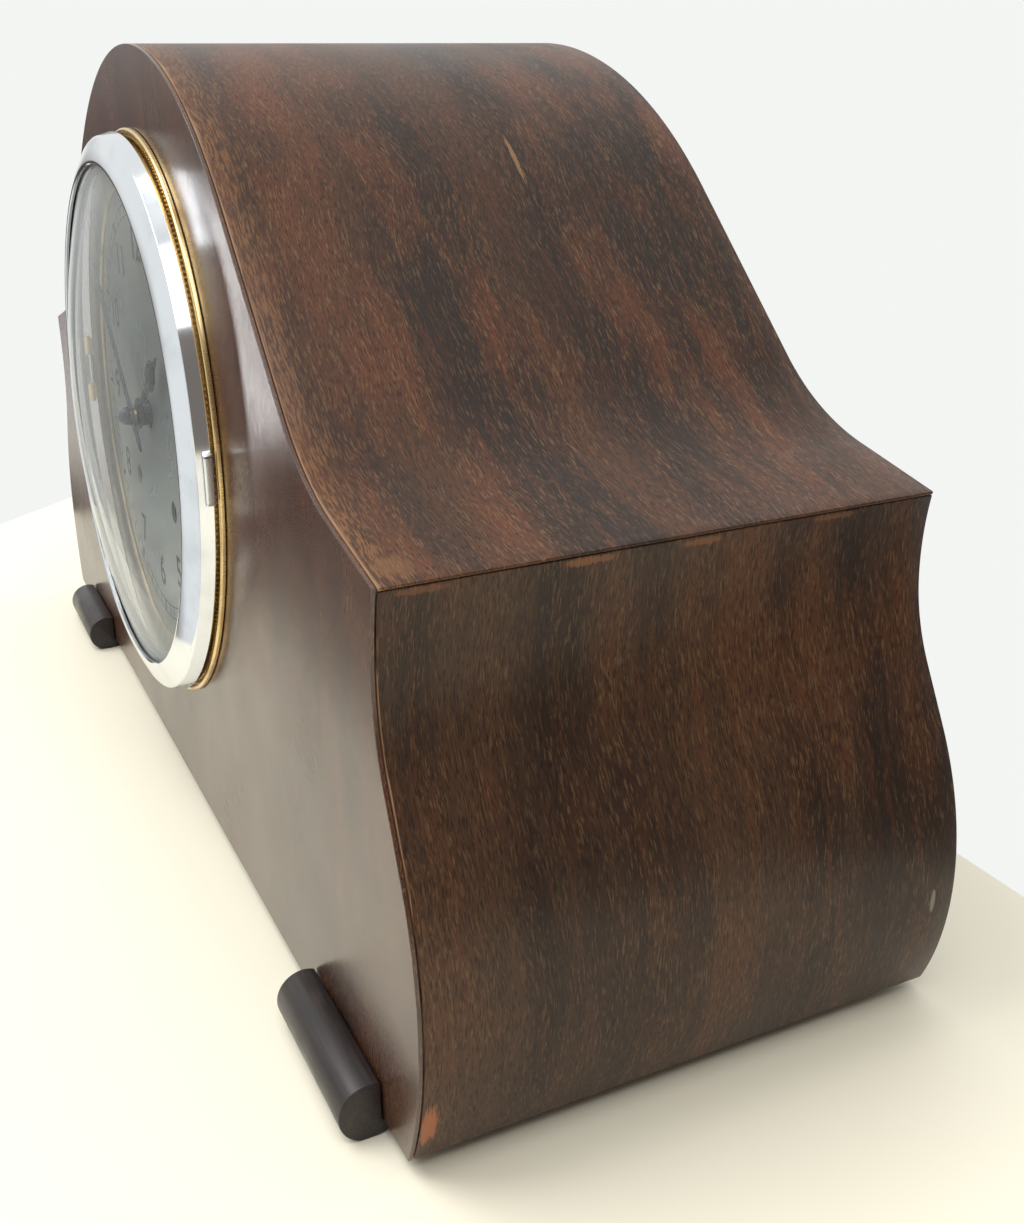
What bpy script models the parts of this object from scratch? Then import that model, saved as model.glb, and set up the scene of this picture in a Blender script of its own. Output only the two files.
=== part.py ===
"""Mantel clock with a humped wooden case, a domed chrome bezel and a striking pendulum movement.

The clock is built in a case frame: X runs to the right as seen from the front, Y runs backwards from
the face of the front board, and Z runs up from the underside of the case.  The empty called "clock"
carries every piece and puts the origin of the whole object at the bottom centre of its box.
Lengths are in metres.
"""

import math

import bmesh
import bpy

MM = 0.001
GAP = 0.3 * MM                     # between pieces that touch
PLAY = 0.09 * MM                   # radial play of a running fit

# ---- driving dimensions of the case ----
CASE_HEIGHT = 242.7 * MM
CASE_DEPTH = 144.2 * MM
CROWN_RADIUS = 150.0 * MM          # the hump
CROWN_ANGLE = 45.0                 # how far the hump turns before it runs straight
SLOPE_LENGTH = 62.1 * MM
SWEEP_RADIUS = 67.0 * MM           # the hollow that leads out to the shoulder
FLARE_ANGLE = 13.2                 # the shoulder falls away by this much
SHOULDER_HALF_WIDTH = 209.2 * MM
UPPER_WAIST_RADIUS = 80.0 * MM
UPPER_WAIST_ANGLE = 16.0
LOWER_WAIST_RADIUS = 52.0 * MM
BELLY_ANGLE = 25.0                 # lean of the side between waist and belly
BELLY_STRAIGHT = 15.6 * MM
BELLY_RADIUS = 80.0 * MM
BASE_RADIUS = 82.8 * MM

LIP = 1.0 * MM                     # facing of the front board that covers the panel edges
FRONT_THICKNESS = 10.0 * MM
BACK_THICKNESS = 8.0 * MM
TOP_THICKNESS = 4.0 * MM
SIDE_THICKNESS = 9.0 * MM
BASE_THICKNESS = 10.0 * MM
FRONT_HOLE_RADIUS = 66.0 * MM

# ---- feet ----
FOOT_RADIUS = 7.2 * MM
FOOT_LENGTH = 48.5 * MM
FOOT_DROP = 4.0 * MM               # the case stands this high
FOOT_CENTRE = (-3.4 * MM, 2.9 * MM)
FRONT_FOOT_X = {"foot_front_left": -153.5 * MM, "foot_front_right": 176.3 * MM}
REAR_FOOT_X = 176.0 * MM
REAR_FOOT_Y = 126.0 * MM
REAR_FOOT_RADIUS = 9.0 * MM

# ---- dial and bezel: all turned about the dial's axis ----
DIAL_Z = 125.65 * MM
RING_SIDES = 56
DIAL_RADIUS = 84.0 * MM
DIAL_FRONT = -1.3 * MM
RING_RADIUS = 91.96 * MM
RING_FRONT = -1.8 * MM
RING_WALL = (87.4 * MM, 88.4 * MM)
RING_WALL_FRONT = -4.2 * MM
BEZEL_BASE = (90.9 * MM, -7.1 * MM)
BEZEL_CREASE = (89.8 * MM, -11.0 * MM)
BEZEL_LIP = (81.9 * MM, -14.4 * MM)
GLASS_SPHERE = 304.5 * MM
GLASS_FRONT = -23.6 * MM
GLASS_THICKNESS = 2.2 * MM
GLASS_RADIUS = 83.6 * MM
BEZEL_HINGE = (-94.2 * MM, -4.6 * MM)
BEZEL_TILT = math.radians(1.34)     # closed, the bezel stands proud on its hinge side
RETAINER_BACK = -8.8 * MM
HOUR_HAND = (-5.2 * MM, -4.4 * MM)
MINUTE_HAND = (-7.4 * MM, -6.6 * MM)
HANDS_AT = (1, 52)                 # hour and minute that the hands show

# ---- movement: places are measured from the dial's axis ----
PLATE_HALF_WIDTH = 62.0 * MM
PLATE_LOW = -62.0 * MM
PLATE_HIGH = 66.0 * MM
FRONT_PLATE = (24.0 * MM, 26.0 * MM)
BACK_PLATE = (62.0 * MM, 64.0 * MM)
CENTRE = (0.0, 0.0)
TIME_BARREL = (27.0 * MM, -27.0 * MM)
STRIKE_BARREL = (-27.0 * MM, -27.0 * MM)
THIRD = (-14.0 * MM, 22.0 * MM)
ESCAPE = (4.0 * MM, 40.0 * MM)
ANCHOR = (4.0 * MM, 58.4 * MM)
PIN_WHEEL = (-37.0 * MM, 9.85 * MM)
MINUTE_STUD = (17.0 * MM, 0.0)
BARREL_DRUM = (31.0 * MM, 46.0 * MM)
WHEEL_TEETH = 36
PINION_LEAVES = 6
CANNON_LEAVES = 8
MINUTE_TEETH = 24
MINUTE_LEAVES = 6
HOUR_TEETH = 24
ESCAPE_TEETH = 24
HAMMER = (44.0 * MM, -44.0 * MM)
PIVOT_RADIUS = 0.8 * MM
ARBOR_RADIUS = 1.5 * MM
WINDER_RADIUS = 2.5 * MM
ESCAPE_RADIUS = 13.0 * MM
HOUR_PIPE_RADIUS = 3.8 * MM
PENDULUM_LENGTH = 96.0 * MM
BOB_RADIUS = 13.0 * MM

# ---- back door ----
DOOR_HALF_WIDTH = 80.0 * MM
DOOR_LOW = 28.0 * MM
DOOR_SPRING_LINE = 120.0 * MM      # where the round top of the door begins
DOOR_THICKNESS = 6.0 * MM
DOOR_HINGE = (-81.0 * MM, CASE_DEPTH + 2.2 * MM)
DOOR_HINGE_Z = {"upper": 104.0 * MM, "lower": 46.0 * MM}
CATCH = (70.0 * MM, 84.0 * MM)
KNOB_REACH = 7.0 * MM

FRONT_PROUD = -(BEZEL_HINGE[1] - BEZEL_HINGE[0] * math.sin(BEZEL_TILT)
                + (GLASS_FRONT - BEZEL_HINGE[1]) * math.cos(BEZEL_TILT))
ORIGIN = (0.0, (FRONT_PROUD - CASE_DEPTH - KNOB_REACH) / 2, FOOT_DROP)

FINISHES = {
    "walnut_veneer": ((0.090, 0.034, 0.017), 0.38, 0.0),
    "front_veneer": ((0.070, 0.030, 0.020), 0.18, 0.0),
    "carcase_wood": ((0.42, 0.27, 0.14), 0.75, 0.0),
    "ebonised_wood": ((0.018, 0.014, 0.014), 0.40, 0.0),
    "chrome": ((0.72, 0.75, 0.80), 0.10, 1.0),
    "brass": ((0.62, 0.42, 0.16), 0.28, 1.0),
    "silvered_dial": ((0.50, 0.53, 0.56), 0.35, 0.6),
    "glass": ((0.90, 0.93, 0.95), 0.03, 0.0),
    "blued_steel": ((0.035, 0.038, 0.055), 0.30, 0.8),
    "steel": ((0.45, 0.46, 0.48), 0.32, 1.0),
    "black_card": ((0.015, 0.015, 0.015), 0.70, 0.0),
}


def make_finish(name):
    """Return the named Principled material."""
    colour, roughness, metallic = FINISHES[name]
    material = bpy.data.materials.new(name)
    material.use_nodes = True
    shader = material.node_tree.nodes["Principled BSDF"]
    shader.inputs["Base Color"].default_value = (*colour, 1.0)
    shader.inputs["Roughness"].default_value = roughness
    shader.inputs["Metallic"].default_value = metallic
    return material


# ---------------------------------------------------------------- outlines

def circle(radius, sides, centre=(0.0, 0.0), turn=0.0):
    """Return the corners of a regular polygon with its corners on a circle."""
    step = 2 * math.pi / sides
    return [(centre[0] + radius * math.cos(turn + step * i),
             centre[1] + radius * math.sin(turn + step * i)) for i in range(sides)]


def rectangle(low, high):
    """Return the corners of a rectangle between two corner points."""
    return [(low[0], low[1]), (high[0], low[1]), (high[0], high[1]), (low[0], high[1])]


def walk(start, heading, moves, step=5.0):
    """Walk an outline of straight runs and arcs; a positive turn is to the left, in degrees."""
    points = [start]
    x, z = start
    for radius_or_length, turn in moves:
        if turn == 0:
            x += radius_or_length * math.cos(math.radians(heading))
            z += radius_or_length * math.sin(math.radians(heading))
            points.append((x, z))
            continue
        pieces = max(1, round(abs(turn) / step))
        chord = 2 * radius_or_length * math.sin(math.radians(abs(turn) / pieces / 2))
        for _ in range(pieces):
            heading += turn / pieces / 2
            x += chord * math.cos(math.radians(heading))
            z += chord * math.sin(math.radians(heading))
            heading += turn / pieces / 2
            points.append((x, z))
    return points


def mirrored(points):
    """Return the points of the left half that match a right half, in the opposite order."""
    return [(-x, z) for x, z in reversed(points)]


def top_line():
    """Return the right half of the case's top, from the apex out to the shoulder."""
    turn_back = CROWN_ANGLE - FLARE_ANGLE
    line = walk((0.0, CASE_HEIGHT), 0.0, [
        (CROWN_RADIUS, -CROWN_ANGLE), (SLOPE_LENGTH, 0), (SWEEP_RADIUS, turn_back)])
    flare = SHOULDER_HALF_WIDTH - line[-1][0]
    fall = flare * math.tan(math.radians(FLARE_ANGLE))
    return line + [(SHOULDER_HALF_WIDTH, line[-1][1] - fall)]


def side_line():
    """Return the right side of the case, from the shoulder down to the underside."""
    start = top_line()[-1]
    line = walk(start, -90.0 - UPPER_WAIST_ANGLE, [
        (UPPER_WAIST_RADIUS, UPPER_WAIST_ANGLE), (LOWER_WAIST_RADIUS, BELLY_ANGLE),
        (BELLY_STRAIGHT, 0), (BELLY_RADIUS, -BELLY_ANGLE)])
    last_turn = math.degrees(math.asin(line[-1][1] / BASE_RADIUS))
    return line[:-1] + walk(line[-1], -90.0, [(BASE_RADIUS, -last_turn)])


def inset(points, distance):
    """Return an open line moved to its right-hand side by a distance."""
    moved = []
    for i, (x, z) in enumerate(points):
        before = points[max(i - 1, 0)]
        after = points[min(i + 1, len(points) - 1)]
        along = (after[0] - before[0], after[1] - before[1])
        length = math.hypot(*along)
        moved.append((x + along[1] / length * distance, z - along[0] / length * distance))
    return moved


def below_top(x, drop):
    """Return the height of the flare's line at x, moved square to itself by a drop."""
    shoulder_x, shoulder_z = top_line()[-1]
    lean = math.radians(FLARE_ANGLE)
    return shoulder_z + (shoulder_x - x) * math.tan(lean) - drop / math.cos(lean)


def hung_below_top(points, drop):
    """Return a downward line, cut where it comes out from under the top panel's flare."""
    for i, (before, after) in enumerate(zip(points, points[1:])):
        over, under = (z - below_top(x, drop) for x, z in (before, after))
        if over >= 0.0 > under:
            share = over / (over - under)
            start = tuple(a + (b - a) * share for a, b in zip(before, after))
            return [start] + points[i + 1:]
    return points


def side_at(shift, drop):
    """Return the right side's line moved inwards by a shift, cut below the top panel."""
    return hung_below_top([(x - shift, z) for x, z in side_line()], drop)


def core_outline(gap):
    """Return the outline inside the top and side panels, less a gap all round."""
    drop = TOP_THICKNESS + gap
    side = side_at(SIDE_THICKNESS + gap, drop)
    under = [(x, z) for x, z in inset(top_line(), drop) if x < side[0][0]]
    right = under + side
    return right + mirrored(right[1:])


# ---------------------------------------------------------------- solids

def plane_point(axis, u, v, w):
    """Return the point at (u, v) in the plane square to an axis, w along that axis."""
    return {"X": (w, u, v), "Y": (u, w, v), "Z": (u, v, w)}[axis]


def prism(outline, low, high, axis="Y", holes=()):
    """Return a bmesh of an outline, with holes through it, between two places on an axis."""
    bm = bmesh.new()
    for loop in (outline, *holes):
        corners = [bm.verts.new(plane_point(axis, u, v, low)) for u, v in loop]
        for i, corner in enumerate(corners):
            bm.edges.new((corner, corners[(i + 1) % len(corners)]))
    bmesh.ops.triangle_fill(bm, edges=bm.edges[:], use_beauty=True)
    grown = bmesh.ops.extrude_face_region(bm, geom=bm.faces[:])["geom"]
    moved = [item for item in grown if isinstance(item, bmesh.types.BMVert)]
    bmesh.ops.translate(bm, verts=moved, vec=plane_point(axis, 0.0, 0.0, high - low))
    return bm


def turned(profile, sides, centre=(0.0, 0.0)):
    """Return a bmesh of a profile of (radius, y) points turned about an axis along Y.

    A point of radius zero is a pole; a profile without poles closes on itself as a ring.
    """
    bm = bmesh.new()
    rings = []
    for radius, y in profile:
        if radius == 0.0:
            rings.append([bm.verts.new((centre[0], y, centre[1]))] * sides)
        else:
            rings.append([bm.verts.new((x, y, z)) for x, z in circle(radius, sides, centre)])
    closed = all(radius > 0.0 for radius, _ in profile)
    spans = len(rings) if closed else len(rings) - 1
    for i in range(spans):
        a, b = rings[i], rings[(i + 1) % len(rings)]
        for j in range(sides):
            k = (j + 1) % sides
            corners = list(dict.fromkeys((a[j], a[k], b[k], b[j])))
            if len(corners) > 2:
                bm.faces.new(corners)
    return bm


def cylinder(radius, low, high, sides=16, centre=(0.0, 0.0)):
    """Return a bmesh of a plain cylinder along Y."""
    return prism(circle(radius, sides, centre), low, high)


def box(low, high):
    """Return a bmesh of a box between two corner points."""
    return prism(rectangle(low[:2], high[:2]), low[2], high[2], axis="Z")


class Clock:
    """Holds the empty that carries the pieces, and the finishes they wear."""

    def __init__(self):
        self.empty = bpy.data.objects.new("clock", None)
        self.empty.location = ORIGIN
        bpy.context.collection.objects.link(self.empty)
        self.finishes = {name: make_finish(name) for name in FINISHES}

    def add(self, name, bm, finish, origin=(0.0, 0.0, 0.0), bevel=0.0):
        """Turn a bmesh into a named object whose origin is the point given."""
        bmesh.ops.recalc_face_normals(bm, faces=bm.faces[:])
        bmesh.ops.translate(bm, verts=bm.verts[:], vec=[-value for value in origin])
        mesh = bpy.data.meshes.new(name)
        bm.to_mesh(mesh)
        bm.free()
        mesh.materials.append(self.finishes[finish])
        mesh.shade_smooth()
        mesh.set_sharp_from_angle(angle=math.radians(35))
        obj = bpy.data.objects.new(name, mesh)
        obj.location = origin
        obj.parent = self.empty
        bpy.context.collection.objects.link(obj)
        if bevel:
            edges = obj.modifiers.new("eased_edges", "BEVEL")
            edges.width = bevel
            edges.segments = 2
            edges.limit_method = "ANGLE"
        return obj

    def shape(self, obj, bm, operation):
        """Join or cut an object with a hidden tool made from a bmesh."""
        tool = self.add(f"{obj.name}_tool", bm, obj.data.materials[0].name)
        tool.hide_render = True
        tool.display_type = "WIRE"
        change = obj.modifiers.new(operation.lower(), "BOOLEAN")
        change.operation = operation
        change.object = tool

    def join(self, obj, *solids):
        """Fuse solids into an object."""
        for bm in solids:
            self.shape(obj, bm, "UNION")

    def cut(self, obj, *solids):
        """Cut solids out of an object."""
        for bm in solids:
            self.shape(obj, bm, "DIFFERENCE")


# ---------------------------------------------------------------- case

def build_panels(clock):
    """Front board, bent top, side panels, base board and back board."""
    full = top_line() + side_line()[1:]
    full = full + mirrored(full[1:])
    front_hole = circle(FRONT_HOLE_RADIUS, 48, (0.0, DIAL_Z))
    front = clock.add("front_board", prism(full, 0.0, LIP, holes=[front_hole]), "front_veneer")
    core = prism(core_outline(GAP), 0.0002, FRONT_THICKNESS, holes=[front_hole])
    clock.join(front, core)

    behind_lip = LIP + GAP
    outside = top_line()
    inside = inset(outside, TOP_THICKNESS)
    underside = list(reversed(inside)) + mirrored(inside[1:])[::-1]
    band = mirrored(outside) + outside[1:] + underside
    clock.add("top_arch", prism(band, behind_lip, CASE_DEPTH), "walnut_veneer")

    drop = TOP_THICKNESS + GAP
    panel = side_at(0.0, drop) + list(reversed(side_at(SIDE_THICKNESS, drop)))
    clock.add("side_panel_right", prism(panel, behind_lip, CASE_DEPTH), "walnut_veneer")
    left = [(-x, z) for x, z in panel]
    clock.add("side_panel_left", prism(left, behind_lip, CASE_DEPTH), "walnut_veneer")

    base_y = (FRONT_THICKNESS + GAP, CASE_DEPTH - BACK_THICKNESS - GAP)
    foot_x = side_line()[-1][0] - SIDE_THICKNESS - GAP
    top_x = foot_x + 4.0 * MM
    base = [(-foot_x, 0.0), (foot_x, 0.0), (top_x, BASE_THICKNESS), (-top_x, BASE_THICKNESS)]
    clock.add("base_board", prism(base, *base_y), "carcase_wood")

    opening = door_outline(GAP)
    back_y = (CASE_DEPTH - BACK_THICKNESS, CASE_DEPTH)
    clock.add("back_board", prism(core_outline(GAP), *back_y, holes=[opening]), "walnut_veneer")


def build_glue_blocks(clock):
    """Triangular blocks glued behind the front board and before the back board."""
    leg = 16.0 * MM
    for end, y in (("front", FRONT_THICKNESS + GAP), ("back", CASE_DEPTH - BACK_THICKNESS - GAP)):
        into_case = leg if end == "front" else -leg
        corner = BASE_THICKNESS + GAP
        outline = [(y, corner), (y + into_case, corner), (y, corner + leg)]
        for side, sign in (("left", -1), ("right", 1)):
            ends = sorted((sign * 120.0 * MM, sign * 180.0 * MM))
            clock.add(f"glue_block_{end}_{side}", prism(outline, *ends, axis="X"), "carcase_wood")


def build_feet(clock):
    """Two notched round bars at the front edge and two round pads at the back."""
    for name, x in FRONT_FOOT_X.items():
        bar = circle(FOOT_RADIUS, 28, FOOT_CENTRE)
        ends = (x - FOOT_LENGTH / 2, x + FOOT_LENGTH / 2)
        foot = clock.add(name, prism(bar, *ends, axis="X"), "ebonised_wood")
        reach = 30.0 * MM
        notch = box((x - reach, -GAP, -GAP), (x + reach, reach, reach))
        sole = box((x - reach, -reach, -reach), (x + reach, reach, -FOOT_DROP))
        clock.cut(foot, notch, sole)
    for side, sign in (("left", -1), ("right", 1)):
        pad = prism(circle(REAR_FOOT_RADIUS, 24, (sign * REAR_FOOT_X, REAR_FOOT_Y)),
                    -FOOT_DROP, -GAP, axis="Z")
        clock.add(f"foot_rear_{side}", pad, "ebonised_wood", bevel=0.6 * MM)


# ---------------------------------------------------------------- back door

def door_outline(grow):
    """Return the door's outline: straight sides with a round top, grown by a distance."""
    half = DOOR_HALF_WIDTH - GAP + grow
    arch = [(half * math.cos(math.radians(a)), DOOR_SPRING_LINE + half * math.sin(math.radians(a)))
            for a in range(0, 181, 9)]
    return [(-half, DOOR_LOW - grow), (half, DOOR_LOW - grow), *arch]


def hinge_leaf(clock, name, axis_xy, toward, spans, plate, finish, origin):
    """Make one hinge leaf: a plate with a knuckle round the pin for each span of heights.

    toward is the side on which the plate lies; plate holds its reach in X, its two faces in Y and its
    lowest and highest point.
    """
    x, y = axis_xy
    knuckle, bore = 1.9 * MM, 0.9 * MM + PLAY
    reach, faces, heights = plate
    clear = x + toward * (knuckle + GAP)
    end = x + toward * reach
    leaf = clock.add(name, box((min(clear, end), faces[0], heights[0]),
                               (max(clear, end), faces[1], heights[1])), finish, origin)
    tab_end = x + toward * 0.3 * MM
    inside = clear + toward * 0.5 * MM
    for low, high in spans:
        tab = box((min(tab_end, inside), faces[0], low), (max(tab_end, inside), faces[1], high))
        tube = prism(circle(knuckle, 16, axis_xy), low, high, "Z", [circle(bore, 16, axis_xy)])
        clock.join(leaf, tab, tube)
    return leaf


def build_door(clock):
    """Back door, its two hinges and the catch that turns in it."""
    hinge = (DOOR_HINGE[0], DOOR_HINGE[1], DOOR_SPRING_LINE / 2)
    faces = (CASE_DEPTH + GAP, CASE_DEPTH + 1.1 * MM)
    spindle = circle(2.0 * MM + PLAY, 16, CATCH)
    door = prism(door_outline(-GAP), CASE_DEPTH - DOOR_THICKNESS, CASE_DEPTH, holes=[spindle])
    clock.add("back_door", door, "walnut_veneer", hinge)
    half = 14.0 * MM
    third = half / 3
    for place, z in DOOR_HINGE_Z.items():
        outer = [(z - half, z - third - GAP), (z + third + GAP, z + half)]
        middle = [(z - third, z + third)]
        plate = (14.0 * MM, faces, (z - half, z + half))
        name = f"door_hinge_{place}"
        hinge_leaf(clock, f"{name}_case_leaf", DOOR_HINGE, -1, outer, plate, "brass", (0, 0, 0))
        hinge_leaf(clock, f"{name}_door_leaf", DOOR_HINGE, 1, middle, plate, "brass", hinge)
        pin = prism(circle(0.9 * MM, 16, DOOR_HINGE), z - half - 1.0 * MM, z + half + 1.0 * MM, "Z")
        clock.add(f"{name}_pin", pin, "steel")

    axis = (CATCH[0], CASE_DEPTH, CATCH[1])
    outer_face = CASE_DEPTH + GAP
    inner_face = CASE_DEPTH - BACK_THICKNESS - GAP
    knob = turned([(0.0, CASE_DEPTH + KNOB_REACH), (3.6 * MM, CASE_DEPTH + KNOB_REACH),
                   (4.5 * MM, CASE_DEPTH + 5.8 * MM), (4.0 * MM, CASE_DEPTH + 2.6 * MM),
                   (5.5 * MM, outer_face + 1.0 * MM), (5.5 * MM, outer_face), (2.0 * MM, outer_face),
                   (2.0 * MM, inner_face - 1.5 * MM), (0.0, inner_face - 1.5 * MM)], 16, CATCH)
    catch = clock.add("door_catch", knob, "brass", axis)
    tongue = prism(rectangle((CATCH[0] - 3.0 * MM, CATCH[1] - 4.0 * MM),
                             (CATCH[0] + 3.0 * MM, CATCH[1] + 15.0 * MM)),
                   inner_face - 1.3 * MM, inner_face)
    clock.join(catch, tongue)


# ---------------------------------------------------------------- dial and bezel

def build_dial(clock):
    """Brass dial ring, sight ring and the silvered dial plate."""
    centre = (0.0, DIAL_Z)
    wall_in, wall_out = RING_WALL
    bead = 0.8 * MM
    ring = turned([(DIAL_RADIUS + 0.5 * MM, -GAP), (RING_RADIUS, -GAP),
                   (RING_RADIUS, RING_FRONT + bead), (RING_RADIUS - 0.4 * MM, RING_FRONT),
                   (RING_RADIUS - 1.3 * MM, RING_FRONT), (RING_RADIUS - 1.6 * MM, RING_FRONT + bead),
                   (wall_out, RING_FRONT + bead), (wall_out, RING_WALL_FRONT),
                   (wall_in, RING_WALL_FRONT), (wall_in, RING_FRONT + 0.4 * MM),
                   (DIAL_RADIUS + 0.5 * MM, RING_FRONT + 0.4 * MM)], RING_SIDES, centre)
    clock.add("dial_ring", ring, "brass")
    sight_out, sight_in = 86.9 * MM, 75.8 * MM
    near, far = RING_WALL_FRONT + GAP, DIAL_FRONT - GAP
    sight = turned([(sight_out, near), (sight_out, near + 0.7 * MM), (sight_in + 1.2 * MM, far),
                    (sight_in, far), (sight_in, far - 0.6 * MM)], RING_SIDES, centre)
    clock.add("sight_ring", sight, "brass")
    holes = [circle(5.0 * MM, 24, centre)]
    for x, z in (TIME_BARREL, STRIKE_BARREL):
        holes.append(circle(3.6 * MM, 20, (x, DIAL_Z + z)))
    plate = prism(circle(DIAL_RADIUS, RING_SIDES, centre), DIAL_FRONT, DIAL_FRONT + 1.0 * MM, holes=holes)
    clock.add("dial_plate", plate, "silvered_dial")


def build_bezel(clock):
    """Chrome ring, domed glass, retaining ring, opening tab and the bezel's hinge."""
    centre = (0.0, DIAL_Z)
    axis = (BEZEL_HINGE[0], BEZEL_HINGE[1], DIAL_Z)
    wall = 0.9 * MM
    (base_r, base_y), (crease_r, crease_y), (lip_r, lip_y) = BEZEL_BASE, BEZEL_CREASE, BEZEL_LIP
    ring = turned([(base_r, base_y), (crease_r, crease_y), (crease_r - 0.9 * MM, crease_y - 0.6 * MM),
                   (lip_r, lip_y), (lip_r - 0.8 * MM, lip_y + 0.2 * MM),
                   (lip_r - 0.8 * MM, lip_y + 1.2 * MM), (lip_r, lip_y + 1.3 * MM),
                   (crease_r - 1.1 * MM, crease_y + 0.6 * MM), (base_r - wall, base_y)], RING_SIDES, centre)
    tilted = [clock.add("bezel_ring", ring, "chrome", axis)]

    def sphere_y(radius, front, sphere):
        return front + sphere - math.sqrt(sphere ** 2 - radius ** 2)

    steps = [GLASS_RADIUS * i / 5 for i in range(6)]
    inner = GLASS_SPHERE - GLASS_THICKNESS
    outside = [(r, sphere_y(r, GLASS_FRONT, GLASS_SPHERE)) for r in steps]
    inside = [(r, sphere_y(r, GLASS_FRONT + GLASS_THICKNESS, inner)) for r in reversed(steps)]
    tilted.append(clock.add("bezel_glass", turned(outside + inside, 40, centre), "glass", axis))

    back = RETAINER_BACK
    retainer = turned([(79.5 * MM, back), (88.9 * MM, back), (88.9 * MM, back - 0.6 * MM),
                       (79.5 * MM, back - 0.6 * MM)], RING_SIDES, centre)
    tilted.append(clock.add("glass_retainer", retainer, "black_card", axis))

    tab_x = base_r + 0.35 * MM
    tab = box((tab_x, -10.0 * MM, DIAL_Z - 7.5 * MM), (tab_x + 2.6 * MM, -7.3 * MM, DIAL_Z + 7.5 * MM))
    tilted.append(clock.add("bezel_tab", tab, "chrome", axis, bevel=0.5 * MM))

    x, y = BEZEL_HINGE
    knuckle, bore = 1.6 * MM, 0.8 * MM + PLAY
    inner_z, outer_z = 5.7 * MM, 12.0 * MM
    strip = (-92.2 * MM, -89.6 * MM)
    faces = (-3.2 * MM, -2.5 * MM)
    bracket = clock.add("bezel_hinge_bracket", box((strip[0], faces[0], DIAL_Z - outer_z),
                                                   (strip[1], faces[1], DIAL_Z + outer_z)), "brass")
    for sign in (-1, 1):
        low, high = sorted((DIAL_Z + sign * (inner_z + GAP), DIAL_Z + sign * outer_z))
        tab = box((x, faces[0], low), (strip[0] + 0.5 * MM, faces[1], high))
        tube = prism(circle(knuckle, 16, BEZEL_HINGE), low, high, "Z", [circle(bore, 16, BEZEL_HINGE)])
        clock.join(bracket, tab, tube)
    arm_x = -(base_r + 0.4 * MM)
    leaf = [(x + 0.6 * MM, y - 1.1 * MM), (x + 1.5 * MM, y - 0.7 * MM), (arm_x, y - 2.9 * MM),
            (arm_x, y - 5.8 * MM), (arm_x - 0.9 * MM, y - 5.8 * MM), (arm_x - 1.0 * MM, y - 3.2 * MM)]
    span = (DIAL_Z - inner_z, DIAL_Z + inner_z)
    arm = clock.add("bezel_hinge_arm", prism(leaf, *span, axis="Z"), "chrome", axis)
    clock.join(arm, prism(circle(knuckle, 16, BEZEL_HINGE), *span, "Z", [circle(bore, 16, BEZEL_HINGE)]))
    for obj in (*tilted, arm):
        obj.rotation_euler.z = BEZEL_TILT
    pin = prism(circle(0.8 * MM, 16, BEZEL_HINGE), DIAL_Z - outer_z - 0.8 * MM,
                DIAL_Z + outer_z + 0.8 * MM, "Z")
    clock.add("bezel_hinge_pin", pin, "steel")


def turned_outline(points, angle):
    """Turn points about the dial's axis, clockwise as seen from the front, and lift them to it."""
    cos, sin = math.cos(angle), math.sin(angle)
    return [(x * cos + z * sin, DIAL_Z - x * sin + z * cos) for x, z in points]


def build_hands(clock):
    """Hour hand, minute hand and the domed nut that holds them."""
    hour, minute = HANDS_AT
    minute_angle = math.radians(minute * 6)
    hour_angle = math.radians((hour + minute / 60) * 30)
    axis = (0.0, 0.0, DIAL_Z)
    right = [(3.4, 7.0), (2.0, 9.0), (1.6, 26.0), (4.6, 31.0), (1.2, 36.0)]
    spade = [(x * MM, z * MM) for x, z in right]
    hour_outline = ([(5.0 * MM, 0.0)] + spade + [(0.0, 45.0 * MM)]
                    + mirrored(spade) + [(-5.0 * MM, 0.0)]
                    + [(-3.0 * MM, -4.6 * MM), (3.0 * MM, -4.6 * MM)])
    bore = circle(3.3 * MM + PLAY, 20, (0.0, DIAL_Z))
    clock.add("hour_hand", prism(turned_outline(hour_outline, hour_angle), *HOUR_HAND, holes=[bore]), "blued_steel", axis)
    right = [(1.8, 6.0), (1.3, 30.0), (1.9, 52.0), (0.8, 60.0)]
    blade = [(x * MM, z * MM) for x, z in right]
    minute_outline = ([(3.6 * MM, 0.0)] + blade + [(0.0, 69.0 * MM)]
                      + mirrored(blade) + [(-3.6 * MM, 0.0)]
                      + [(-1.8 * MM, -10.0 * MM), (0.0, -15.0 * MM), (1.8 * MM, -10.0 * MM)])
    bore = circle(1.7 * MM + PLAY, 16, (0.0, DIAL_Z))
    clock.add("minute_hand", prism(turned_outline(minute_outline, minute_angle), *MINUTE_HAND,
                                   holes=[bore]), "blued_steel", axis)
    seat = MINUTE_HAND[0] - GAP
    nut = turned([(0.0, seat - 3.7 * MM), (1.6 * MM, seat - 3.3 * MM), (2.8 * MM, seat - 1.7 * MM),
                  (3.0 * MM, seat), (0.0, seat)], 16, (0.0, DIAL_Z))
    clock.add("hand_nut", nut, "brass", axis)


# ---------------------------------------------------------------- movement

def at(place):
    """Return a movement place as (x, z) in the case frame."""
    return (place[0], DIAL_Z + place[1])


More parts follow.
